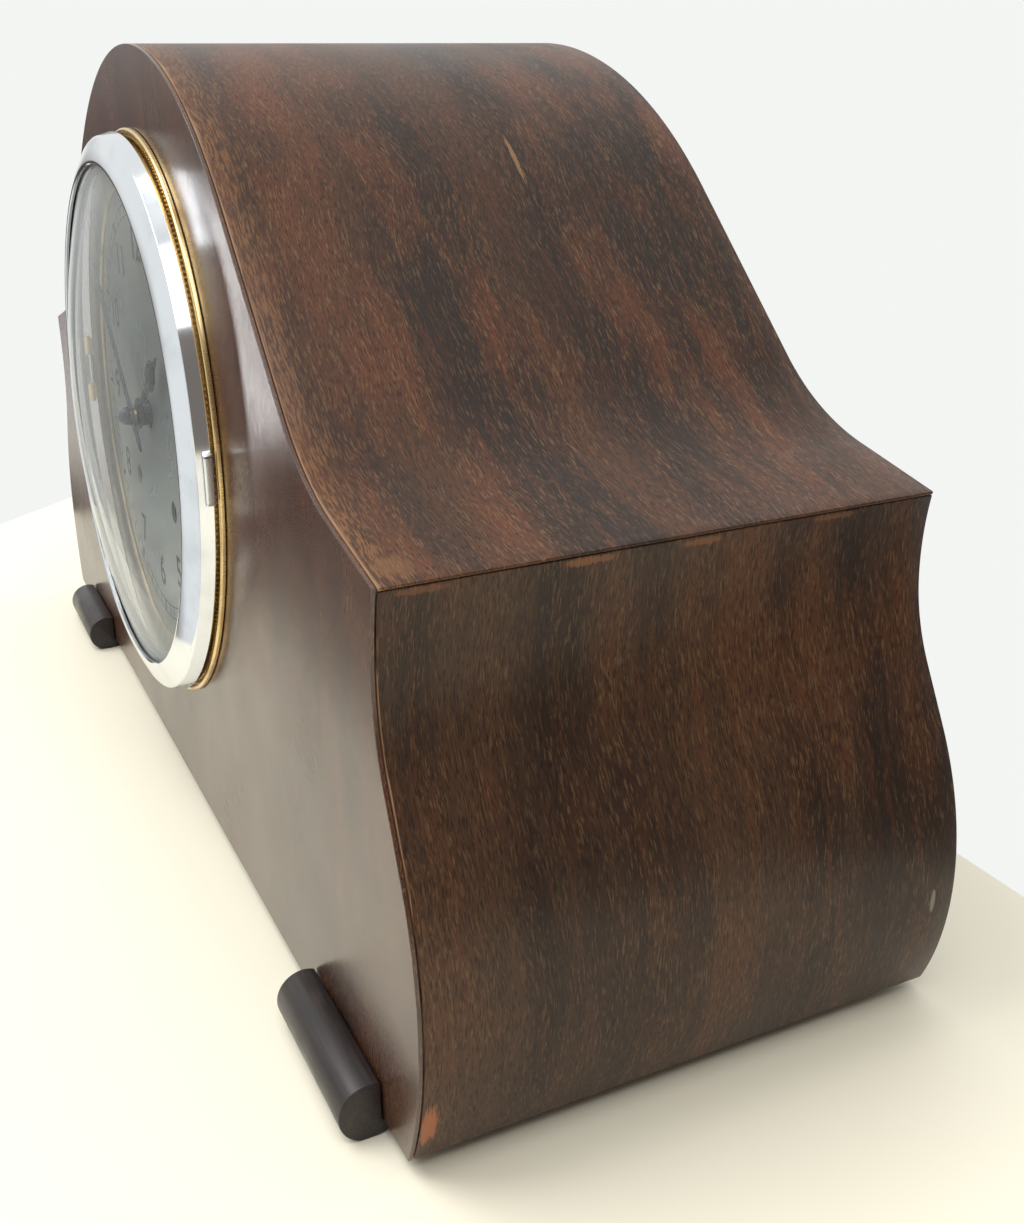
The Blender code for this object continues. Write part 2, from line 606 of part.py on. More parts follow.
def gear_outline(place, teeth, pitch_radius, phase, depth=0.85, tooth=0.36):
    """Return a wheel's outline; phase is the direction of one tooth, in radians.

    depth is the height of a tooth above and below the pitch circle in modules, and tooth is its
    width there as a share of the pitch.
    """
    module = 2 * pitch_radius / teeth
    pitch = 2 * math.pi / teeth
    centre = at(place)
    points = []
    for i in range(teeth):
        middle = phase + i * pitch
        for radius, offset in ((pitch_radius - depth * module, -tooth * 0.62),
                               (pitch_radius + depth * module, -tooth * 0.30),
                               (pitch_radius + depth * module, tooth * 0.30),
                               (pitch_radius - depth * module, tooth * 0.62)):
            angle = middle + offset * pitch
            points.append((centre[0] + radius * math.cos(angle), centre[1] + radius * math.sin(angle)))
    return points


def direction(place, other):
    """Return the direction from one place to another, in radians."""
    return math.atan2(other[1] - place[1], other[0] - place[0])


def meshing(place, other, teeth, other_teeth):
    """Return the pitch radii and phases of two wheels in mesh, tooth to gap."""
    distance = math.dist(place, other)
    radius = distance * teeth / (teeth + other_teeth)
    line = direction(place, other)
    return radius, distance - radius, line, line + math.pi + math.pi / other_teeth


def spoke_holes(place, inner, outer, spokes=4, rim=6):
    """Return the windows between a wheel's spokes."""
    centre = at(place)
    holes = []
    for i in range(spokes):
        start = 2 * math.pi * i / spokes + 0.16
        end = 2 * math.pi * (i + 1) / spokes - 0.16
        arc = [start + (end - start) * j / rim for j in range(rim + 1)]
        window = [(centre[0] + outer * math.cos(a), centre[1] + outer * math.sin(a)) for a in arc]
        middle = (start + end) / 2
        for a in (middle + 0.42, middle - 0.42):
            window.append((centre[0] + inner * math.cos(a), centre[1] + inner * math.sin(a)))
        holes.append(window)
    return holes


def arbor(place, low, high, radius=ARBOR_RADIUS, pivot=PIVOT_RADIUS):
    """Return an arbor that runs between the plates, with a pivot in each of them."""
    shoulder_low, shoulder_high = FRONT_PLATE[1] + GAP, BACK_PLATE[0] - GAP
    return turned([(0.0, low), (pivot, low), (pivot, shoulder_low), (radius, shoulder_low),
                   (radius, shoulder_high), (pivot, shoulder_high), (pivot, high), (0.0, high)],
                  12, at(place))


def origin_of(place):
    """Return the point on an arbor's axis that is the origin of what turns on it."""
    return (place[0], 0.0, DIAL_Z + place[1])


def build_frame(clock):
    """Plates, pillars and the brackets that hang the movement on the front board."""
    running = [THIRD, ESCAPE, PIN_WHEEL, ANCHOR]
    outline = [(-PLATE_HALF_WIDTH, DIAL_Z + PLATE_LOW), (PLATE_HALF_WIDTH, DIAL_Z + PLATE_LOW),
               (PLATE_HALF_WIDTH, DIAL_Z + 34.0 * MM), (26.0 * MM, DIAL_Z + PLATE_HIGH),
               (-26.0 * MM, DIAL_Z + PLATE_HIGH), (-PLATE_HALF_WIDTH, DIAL_Z + 34.0 * MM)]
    pillar_places = [(-56.0 * MM, -55.0 * MM), (56.0 * MM, -55.0 * MM),
                     (-46.0 * MM, 32.0 * MM), (46.0 * MM, 32.0 * MM)]
    pivots = [circle(PIVOT_RADIUS + PLAY, 12, at(place)) for place in running]
    winders = [circle(WINDER_RADIUS + PLAY, 16, at(place)) for place in (TIME_BARREL, STRIKE_BARREL)]
    posts = [circle(1.6 * MM, 12, at(place)) for place in pillar_places]
    front_centre = [circle(ARBOR_RADIUS + PLAY, 12, at(CENTRE))]
    back_centre = [circle(PIVOT_RADIUS + PLAY, 12, at(CENTRE))]
    front = clock.add("movement_front_plate", prism(outline, *FRONT_PLATE, holes=[
        *pivots, *winders, *front_centre, *posts]), "brass")
    clock.join(front, cylinder(1.4 * MM, 13.5 * MM, FRONT_PLATE[0] + 0.5 * MM, 12, at(MINUTE_STUD)))
    back_plate = clock.add("movement_back_plate", prism(outline, *BACK_PLATE, holes=[
        *pivots, *winders, *back_centre, *posts]), "brass")
    clock.join(back_plate, cylinder(2.0 * MM, BACK_PLATE[1] - 0.5 * MM, 80.0 * MM, 16, at(HAMMER)))
    shoulder = (FRONT_PLATE[1] + GAP, BACK_PLATE[0] - GAP)
    ends = (FRONT_PLATE[0] - 1.5 * MM, BACK_PLATE[1] + 1.5 * MM)
    for i, place in enumerate(pillar_places, start=1):
        pillar = turned([(0.0, ends[0]), (1.4 * MM, ends[0]), (1.4 * MM, shoulder[0]),
                         (3.2 * MM, shoulder[0]), (2.4 * MM, shoulder[0] + 5.0 * MM),
                         (2.4 * MM, shoulder[1] - 5.0 * MM), (3.2 * MM, shoulder[1]),
                         (1.4 * MM, shoulder[1]), (1.4 * MM, ends[1]), (0.0, ends[1])], 12, at(place))
        clock.add(f"movement_pillar_{i}", pillar, "brass")
    for side, sign in (("left", -1), ("right", 1)):
        inner = PLATE_HALF_WIDTH + 0.5 * MM
        angle = [(inner, FRONT_THICKNESS + GAP), (86.0 * MM, FRONT_THICKNESS + GAP),
                 (86.0 * MM, FRONT_THICKNESS + 2.3 * MM), (inner + 2.0 * MM, FRONT_THICKNESS + 2.3 * MM),
                 (inner + 2.0 * MM, BACK_PLATE[1]), (inner, BACK_PLATE[1])]
        angle = [(sign * x, y) for x, y in angle]
        clock.add(f"movement_bracket_{side}",
                  prism(angle, DIAL_Z - 24.0 * MM, DIAL_Z + 24.0 * MM, axis="Z"), "steel")


def build_going_train(clock):
    """Time barrel, centre arbor, motion work, third wheel and escape wheel."""
    great_r, centre_pinion_r, great_phase, pinion_phase = meshing(TIME_BARREL, CENTRE, WHEEL_TEETH, PINION_LEAVES)
    build_barrel(clock, "time", TIME_BARREL, great_r, great_phase, 28.0 * MM)

    centre_r, third_pinion_r, centre_phase, third_pinion_phase = meshing(CENTRE, THIRD, WHEEL_TEETH, PINION_LEAVES)
    cannon_r, minute_r, cannon_phase, minute_phase = meshing(CENTRE, MINUTE_STUD, CANNON_LEAVES, MINUTE_TEETH)
    axis = origin_of(CENTRE)
    wheel = prism(gear_outline(CENTRE, WHEEL_TEETH, centre_r, centre_phase), 48.0 * MM, 50.0 * MM,
                  holes=spoke_holes(CENTRE, 5.0 * MM, centre_r - 3.5 * MM))
    centre = clock.add("centre_wheel", wheel, "brass", axis)
    low, high = FRONT_PLATE[1] + GAP, BACK_PLATE[0] - GAP
    end = MINUTE_HAND[0] - 0.2 * MM
    spindle = turned([(0.0, end), (1.7 * MM, end), (1.9 * MM, end + 2.0 * MM),
                          (1.9 * MM, 22.0 * MM), (ARBOR_RADIUS, 22.0 * MM), (ARBOR_RADIUS, low),
                          (2.2 * MM, low), (2.2 * MM, high), (PIVOT_RADIUS, high),
                          (PIVOT_RADIUS, BACK_PLATE[1]), (0.0, BACK_PLATE[1])], 16, at(CENTRE))
    clock.join(centre, spindle,
               prism(gear_outline(CENTRE, PINION_LEAVES, centre_pinion_r, pinion_phase, 0.8, 0.30),
                     27.0 * MM, 31.5 * MM),
               prism(gear_outline(CENTRE, CANNON_LEAVES, cannon_r, cannon_phase, 0.8, 0.30), 19.0 * MM, 22.0 * MM))

    minute_pinion_r, hour_r, hour_pinion_phase, hour_phase = meshing(MINUTE_STUD, CENTRE, MINUTE_LEAVES, HOUR_TEETH)
    stud = circle(1.4 * MM + PLAY, 12, at(MINUTE_STUD))
    wheel = prism(gear_outline(MINUTE_STUD, MINUTE_TEETH, minute_r, minute_phase), 20.0 * MM, 21.2 * MM, holes=[stud])
    minute = clock.add("minute_wheel", wheel, "brass", origin_of(MINUTE_STUD))
    clock.join(minute, prism(gear_outline(MINUTE_STUD, MINUTE_LEAVES, minute_pinion_r, hour_pinion_phase, 0.8, 0.30),
                             14.2 * MM, 20.4 * MM, holes=[stud]))
    seat = circle(HOUR_PIPE_RADIUS + GAP, 20, at(CENTRE))
    wheel = prism(gear_outline(CENTRE, HOUR_TEETH, hour_r, hour_phase), 15.2 * MM, 16.8 * MM, holes=[seat])
    clock.add("hour_wheel", wheel, "brass", axis)
    bore, hand_seat = 2.3 * MM, 3.3 * MM
    end, shoulder = HOUR_HAND[0] - 0.6 * MM, HOUR_HAND[1] + 0.3 * MM
    pipe = turned([(bore, end), (hand_seat, end), (hand_seat, shoulder), (HOUR_PIPE_RADIUS, shoulder),
                   (HOUR_PIPE_RADIUS, 17.6 * MM), (bore, 17.6 * MM)], 20, at(CENTRE))
    clock.add("hour_pipe", pipe, "brass", axis)

    third_r, escape_pinion_r, third_phase, escape_pinion_phase = meshing(THIRD, ESCAPE, WHEEL_TEETH, PINION_LEAVES)
    wheel = prism(gear_outline(THIRD, WHEEL_TEETH, third_r, third_phase), 36.0 * MM, 37.6 * MM,
                  holes=spoke_holes(THIRD, 4.5 * MM, third_r - 3.2 * MM))
    third = clock.add("third_wheel", wheel, "brass", origin_of(THIRD))
    clock.join(third, arbor(THIRD, FRONT_PLATE[0], BACK_PLATE[1]),
               prism(gear_outline(THIRD, PINION_LEAVES, third_pinion_r, third_pinion_phase, 0.8, 0.30),
                     46.0 * MM, 52.0 * MM))

    centre_xz = at(ESCAPE)
    outline = []
    for i in range(ESCAPE_TEETH):
        start = 2 * math.pi * i / ESCAPE_TEETH
        for radius, offset in ((ESCAPE_RADIUS - 2.2 * MM, 0.0), (ESCAPE_RADIUS, 0.10), (ESCAPE_RADIUS, 0.125)):
            angle = start + offset
            outline.append((centre_xz[0] + radius * math.cos(angle), centre_xz[1] + radius * math.sin(angle)))
    wheel = prism(outline, 53.0 * MM, 54.4 * MM, holes=spoke_holes(ESCAPE, 4.0 * MM, 9.0 * MM))
    escape = clock.add("escape_wheel", wheel, "brass", origin_of(ESCAPE))
    clock.join(escape, arbor(ESCAPE, FRONT_PLATE[0], BACK_PLATE[1]),
               prism(gear_outline(ESCAPE, PINION_LEAVES, escape_pinion_r, escape_pinion_phase, 0.8, 0.30),
                     34.0 * MM, 40.0 * MM))


def build_barrel(clock, train, place, great_radius, great_phase, wheel_y):
    """Spring barrel with its great wheel, and the squared arbor that winds it."""
    bore = circle(WINDER_RADIUS + PLAY, 16, at(place))
    drum = prism(circle(19.0 * MM, 32, at(place)), *BARREL_DRUM, holes=[bore])
    barrel = clock.add(f"{train}_barrel", drum, "brass", origin_of(place))
    wheel = prism(gear_outline(place, WHEEL_TEETH, great_radius, great_phase), wheel_y, wheel_y + 2.0 * MM,
                  holes=[bore])
    overlap = 0.5 * MM
    sleeve_ends = sorted((wheel_y + overlap, BARREL_DRUM[0] + overlap if train == "time"
                          else BARREL_DRUM[1] - overlap))
    clock.join(barrel, wheel, prism(circle(4.5 * MM, 16, at(place)), *sleeve_ends, holes=[bore]))
    low, high = 12.0 * MM, BACK_PLATE[1] + 2.0 * MM
    rod = clock.add(f"{train}_winding_arbor", cylinder(WINDER_RADIUS, low, high, 16, at(place)),
                    "steel", origin_of(place))
    square = prism(circle(2.2 * MM, 4, at(place), math.pi / 4), 1.0 * MM, low + 0.5 * MM)
    clock.join(rod, square)


def build_escapement(clock):
    """Pallets with the crutch, the suspension cock and the pendulum."""
    x, z = at(ANCHOR)
    reach = [(9.9, -8.5), (12.2, -8.2), (9.0, -1.0), (3.0, 3.2)]
    arm = [(px * MM, pz * MM) for px, pz in reach]
    outline = arm + mirrored(arm) + [(-7.2 * MM, -2.6 * MM), (0.0, -1.9 * MM), (7.2 * MM, -2.6 * MM)]
    outline = [(x + px, z + pz) for px, pz in outline]
    axis = origin_of(ANCHOR)
    pallets = clock.add("pallets", prism(outline, 52.4 * MM, 55.0 * MM), "steel", axis)
    staff = arbor(ANCHOR, FRONT_PLATE[0], 70.5 * MM)
    crutch = prism(rectangle((x - 1.0 * MM, z - 30.0 * MM), (x + 1.0 * MM, z + 1.5 * MM)),
                   68.5 * MM, 70.3 * MM)
    fork = [(x - 2.8 * MM, 68.5 * MM), (x + 2.8 * MM, 68.5 * MM), (x + 2.8 * MM, 76.0 * MM),
            (x + 1.6 * MM, 76.0 * MM), (x + 1.6 * MM, 71.5 * MM), (x - 1.6 * MM, 71.5 * MM),
            (x - 1.6 * MM, 76.0 * MM), (x - 2.8 * MM, 76.0 * MM)]
    clock.join(pallets, staff, crutch, prism(fork, z - 31.0 * MM, z - 27.0 * MM, axis="Z"))

    back = BACK_PLATE[1] + GAP
    cock = [(back, z + 2.2 * MM), (78.0 * MM, z + 2.2 * MM), (78.0 * MM, z + 5.2 * MM),
            (back + 2.4 * MM, z + 5.2 * MM), (back + 2.4 * MM, z + 7.4 * MM), (back, z + 7.4 * MM)]
    clock.add("suspension_cock", prism(cock, x - 7.0 * MM, x + 7.0 * MM, axis="X"), "brass")

    low = z - PENDULUM_LENGTH
    rod = prism(rectangle((x - 0.9 * MM, low - BOB_RADIUS - 6.0 * MM), (x + 0.9 * MM, z + 1.8 * MM)),
                73.0 * MM, 74.4 * MM)
    clock.add("pendulum_rod", rod, "steel", axis)
    bob = turned([(0.0, 75.8 * MM), (BOB_RADIUS * 0.6, 75.8 * MM), (BOB_RADIUS, 76.6 * MM),
                  (BOB_RADIUS, 78.0 * MM), (BOB_RADIUS * 0.6, 80.0 * MM), (0.0, 80.6 * MM)], 28, (x, low))
    bob_obj = clock.add("pendulum_bob", bob, "brass", axis)
    strap = box((x - 2.4 * MM, 72.0 * MM, low - 3.0 * MM), (x + 2.4 * MM, 76.2 * MM, low + 3.0 * MM))
    clock.join(bob_obj, strap)
    clock.cut(bob_obj, box((x - 0.9 * MM - GAP, 73.0 * MM - GAP, low - 4.0 * MM),
                           (x + 0.9 * MM + GAP, 74.4 * MM + GAP, low + 4.0 * MM)))


def build_strike(clock):
    """Strike barrel, pin wheel, hammer, and the gong rods on their block."""
    great_r, pinion_r, great_phase, pinion_phase = meshing(STRIKE_BARREL, PIN_WHEEL, WHEEL_TEETH, PINION_LEAVES)
    build_barrel(clock, "strike", STRIKE_BARREL, great_r, great_phase, 50.8 * MM)
    wheel = prism(gear_outline(PIN_WHEEL, WHEEL_TEETH, 13.0 * MM, 0.0), 40.0 * MM, 41.6 * MM)
    pin_wheel = clock.add("strike_pin_wheel", wheel, "brass", origin_of(PIN_WHEEL))
    pins = [cylinder(0.8 * MM, 41.0 * MM, 45.0 * MM, 8, spot)
            for spot in circle(9.5 * MM, 6, at(PIN_WHEEL))]
    clock.join(pin_wheel, arbor(PIN_WHEEL, FRONT_PLATE[0], BACK_PLATE[1]), *pins,
               prism(gear_outline(PIN_WHEEL, PINION_LEAVES, pinion_r, pinion_phase, 0.8, 0.30), 49.5 * MM, 55.0 * MM))

    x, z = at(HAMMER)
    head = (x + 38.0 * MM, 40.0 * MM)
    hub = prism(circle(4.5 * MM, 16, (x, z)), 66.0 * MM, 72.0 * MM,
                holes=[circle(2.0 * MM + PLAY, 16, (x, z))])
    hammer = clock.add("strike_hammer", hub, "brass", origin_of(HAMMER))
    stem = [(x + 3.2 * MM, z + 1.0 * MM), (x + 1.2 * MM, z - 3.4 * MM),
            (head[0] - 1.5 * MM, head[1] + 4.0 * MM), (head[0] + 1.5 * MM, head[1] + 5.0 * MM)]
    arm = prism(stem, 68.0 * MM, 70.0 * MM)
    weight = prism(circle(4.0 * MM, 16, (head[0], 69.0 * MM)), head[1] - 4.0 * MM, head[1] + 6.0 * MM, "Z")
    clock.join(hammer, arm, weight)

    rod_z, rod_radius = 32.0 * MM, 1.3 * MM
    block = box((98.0 * MM, 58.0 * MM, BASE_THICKNESS + GAP), (116.0 * MM, 92.0 * MM, 38.0 * MM))
    gong = clock.add("gong_block_and_rods", block, "steel")
    for y, reach in ((69.0 * MM, 128.0 * MM), (80.0 * MM, 112.0 * MM)):
        clock.join(gong, prism(circle(rod_radius, 10, (y, rod_z)), -reach, 100.0 * MM, "X"))


def main():
    """Clear the scene and build every sub-assembly."""
    for obj in list(bpy.data.objects):
        bpy.data.objects.remove(obj, do_unlink=True)
    clock = Clock()
    build_panels(clock)
    build_glue_blocks(clock)
    build_feet(clock)
    build_door(clock)
    build_dial(clock)
    build_bezel(clock)
    build_hands(clock)
    build_frame(clock)
    build_going_train(clock)
    build_escapement(clock)
    build_strike(clock)


main()
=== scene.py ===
"""Looks of a humped mantel clock: veneered case, domed chrome bezel, silvered dial and brass works.

Lengths are in metres.  The case frame has X to the right as seen from the front, Y running backwards
from the face of the front board, and Z up from the underside of the case; CaseFrame moves it to where
the loaded frame holds the clock.
"""

import logging
import math
from dataclasses import dataclass, field
from enum import Enum
from typing import Optional, Sequence, Union

import bmesh
import bpy
from mathutils import Matrix, Quaternion, Vector


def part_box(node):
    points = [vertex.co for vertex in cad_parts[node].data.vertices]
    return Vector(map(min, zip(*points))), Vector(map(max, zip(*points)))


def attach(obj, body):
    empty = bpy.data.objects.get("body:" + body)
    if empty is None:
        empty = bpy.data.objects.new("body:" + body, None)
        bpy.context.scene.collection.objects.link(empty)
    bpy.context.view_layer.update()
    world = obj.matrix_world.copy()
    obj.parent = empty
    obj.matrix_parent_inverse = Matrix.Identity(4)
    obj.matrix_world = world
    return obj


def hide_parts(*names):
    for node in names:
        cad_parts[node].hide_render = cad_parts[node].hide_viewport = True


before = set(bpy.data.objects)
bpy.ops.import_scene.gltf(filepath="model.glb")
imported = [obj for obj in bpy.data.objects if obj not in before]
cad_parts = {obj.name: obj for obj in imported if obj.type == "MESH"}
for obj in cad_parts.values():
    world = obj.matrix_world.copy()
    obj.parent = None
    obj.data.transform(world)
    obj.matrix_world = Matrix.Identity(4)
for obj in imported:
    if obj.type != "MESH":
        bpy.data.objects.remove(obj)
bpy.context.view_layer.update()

LOG = logging.getLogger("mantel_clock")
MM = 0.001
GAP = 0.3 * MM
QUARTER_TURN = math.pi / 2
Point = tuple[float, float]
Colour = tuple[float, float, float]
Feed = Union[float, tuple, "Wire"]


# ---------------------------------------------------------------- node graphs

class Wire:
    """A node's output that can stand in a Python sum."""

    def __init__(self, graph: "Graph", socket: bpy.types.NodeSocket) -> None:
        """Keep the graph and the socket."""
        self.graph = graph
        self.socket = socket

    def __add__(self, other: Feed) -> "Wire":
        """Return self + other."""
        return self.graph.maths("ADD", self, other)

    def __radd__(self, other: Feed) -> "Wire":
        """Return other + self."""
        return self.graph.maths("ADD", other, self)

    def __sub__(self, other: Feed) -> "Wire":
        """Return self - other."""
        return self.graph.maths("SUBTRACT", self, other)

    def __rsub__(self, other: Feed) -> "Wire":
        """Return other - self."""
        return self.graph.maths("SUBTRACT", other, self)

    def __mul__(self, other: Feed) -> "Wire":
        """Return self * other."""
        return self.graph.maths("MULTIPLY", self, other)

    def __rmul__(self, other: Feed) -> "Wire":
        """Return other * self."""
        return self.graph.maths("MULTIPLY", other, self)

    def __truediv__(self, other: Feed) -> "Wire":
        """Return self / other."""
        return self.graph.maths("DIVIDE", self, other)

    def __rtruediv__(self, other: Feed) -> "Wire":
        """Return other / self."""
        return self.graph.maths("DIVIDE", other, self)


class Graph:
    """A node tree that is written as calls and sums."""

    def __init__(self, tree: bpy.types.NodeTree) -> None:
        """Keep the tree."""
        self.tree = tree

    def feed(self, socket: bpy.types.NodeSocket, value: Feed) -> None:
        """Link a wire to a socket, or set its value."""
        if isinstance(value, Wire):
            self.tree.links.new(value.socket, socket)
        else:
            socket.default_value = value

    def node(self, kind: str, settings: dict, sockets: dict, output: Union[int, str] = 0) -> Wire:
        """Add a node of any type.

        Args:
            kind: the node's type.
            settings: its own properties, set first; "stops" holds a ramp's positions and colours.
            sockets: values or wires by the input's name or number.
            output: the output that is returned.

        Returns:
            The chosen output as a wire.
        """
        made = self.tree.nodes.new(kind)
        for name, value in settings.items():
            if name == "stops":
                self._set_stops(made.color_ramp, value)
            else:
                setattr(made, name, value)
        for key, value in sockets.items():
            self.feed(made.inputs[key], value)
        return Wire(self, made.outputs[output])

    @staticmethod
    def _set_stops(ramp: bpy.types.ColorRamp, stops: Sequence[tuple[float, Colour]]) -> None:
        """Give a ramp its stops."""
        while len(ramp.elements) < len(stops):
            ramp.elements.new(1.0)
        for element, (position, colour) in zip(ramp.elements, stops):
            element.position = position
            element.color = (*colour, 1.0)

    def maths(self, operation: str, *values: Feed) -> Wire:
        """Return a Math node's result."""
        return self.node("ShaderNodeMath", {"operation": operation}, dict(enumerate(values)))

    def vector(self, operation: str, first: Feed, second: Feed) -> Wire:
        """Return a Vector Math result."""
        return self.node("ShaderNodeVectorMath", {"operation": operation}, {0: first, 1: second})

    def mix(self, share: Feed, first: Feed, second: Feed) -> Wire:
        """Return a colour that goes from the first to the second as the share goes from 0 to 1."""
        colours = [value if isinstance(value, Wire) else (*value, 1.0) for value in (first, second)]
        sockets = {0: share, 6: colours[0], 7: colours[1]}
        return self.node("ShaderNodeMix", {"data_type": "RGBA"}, sockets, 2)

    def smooth(self, value: Feed, low: float, high: float) -> Wire:
        """Return a value eased from 0 at low to 1 at high."""
        return self.node("ShaderNodeMapRange", {"interpolation_type": "SMOOTHSTEP"},
                         {"Value": value, "From Min": low, "From Max": high})

    def noise(self, place: Wire, size: Sequence[float], seed: float, detail: float = 2.0) -> Wire:
        """Return noise whose marks have about the given size along each axis."""
        scaled = self.vector("MULTIPLY", place, tuple(1.0 / value for value in size))
        moved = self.vector("ADD", scaled, (seed, seed * 1.7, seed * 0.6))
        return self.node("ShaderNodeTexNoise", {}, {"Vector": moved, "Scale": 1.0, "Detail": detail,
                                                    "Roughness": 0.55})

    def axis(self, place: Wire, which: str) -> Wire:
        """Return one component of a vector."""
        return self.node("ShaderNodeSeparateXYZ", {}, {0: place}, which)


# ---------------------------------------------------------------- finishes

def along(length: float, width: float) -> tuple[float, float, float]:
    """Return the size of marks that run along the grain."""
    return (length, width, width)


def round_marks(size: float) -> tuple[float, float, float]:
    """Return the size of marks that are as long as they are wide."""
    return (size, size, size)


class Slot(Enum):
    """Material slots of the record, one named with each finish."""

    CASE = "case_veneer"
    FRONT = "front_veneer"
    CARCASE = "carcase_wood"
    FOOT = "foot_wood"
    CHROME = "chrome"
    GLASS = "glass"
    BLACK = "retainer_black"
    DIAL_BRASS = "dial_brass"
    DIAL = "silvered_dial"
    HANDS = "hand_steel"
    STEEL = "steel"
    BRASS = "movement_brass"


class Lie(Enum):
    """How a pattern is laid on a piece."""

    GRAIN_MAP = "grain"
    UPRIGHT = "upright"
    LEVEL = "level"
    AS_MADE = "as made"


@dataclass(frozen=True)
class Finish:
    """A material with one Principled shader and a pattern of its own."""

    name: str
    slot: Slot
    roughness: float = 0.4
    metallic: float = 0.0

    def place(self, graph: Graph, lie: Lie) -> Wire:
        """Return the place on the piece, with X along the grain.

        Args:
            graph: the material's graph.
            lie: how the pattern lies on the piece.

        Returns:
            A vector in metres.
        """
        if lie is Lie.GRAIN_MAP:
            return graph.node("ShaderNodeUVMap", {"uv_map": lie.value}, {})
        spot = graph.node("ShaderNodeTexCoord", {}, {}, "Object")
        if lie is Lie.UPRIGHT:
            upright = (0.0, QUARTER_TURN, 0.0)
            return graph.node("ShaderNodeMapping", {}, {"Vector": spot, "Rotation": upright})
        return spot

    def paint(self, graph: Graph, shader: bpy.types.Node) -> None:
        """Join the finish's pattern to the shader; each finish has its own."""
        raise NotImplementedError

    def material(self) -> bpy.types.Material:
        """Return the material, made on the first call."""
        made = bpy.data.materials.get(self.name)
        if made:
            return made
        made = bpy.data.materials.new(self.name)
        made.use_nodes = True
        shader = made.node_tree.nodes["Principled BSDF"]
        shader.inputs["Roughness"].default_value = self.roughness
        shader.inputs["Metallic"].default_value = self.metallic
        self.paint(Graph(made.node_tree), shader)
        return made

    @staticmethod
    def bump(graph: Graph, shader: bpy.types.Node, height: Wire, strength: float, reach: float) -> None:
        """Give the shader a bumpy normal."""
        sockets = {"Height": height, "Strength": strength, "Distance": reach}
        graph.feed(shader.inputs["Normal"], graph.node("ShaderNodeBump", {}, sockets))


@dataclass(frozen=True)
class Spot:
    """A soft-edged mark at one place of a grain map, all in metres."""

    along: float
    across: float
    length: float
    width: float
    colour: Colour
    strength: float = 1.0

    def mask(self, graph: Graph, place: Wire, ragged: Wire) -> Wire:
        """Return how much of the mark shows at a place."""
        offset = graph.vector("SUBTRACT", place, (self.along, self.across, 0.0))
        scaled = graph.vector("MULTIPLY", offset, (1.0 / self.length, 1.0 / self.width, 0.0))
        distance = graph.node("ShaderNodeVectorMath", {"operation": "LENGTH"}, {0: scaled}, "Value")
        return (1.0 - graph.smooth(distance + ragged, 0.7, 1.3)) * self.strength


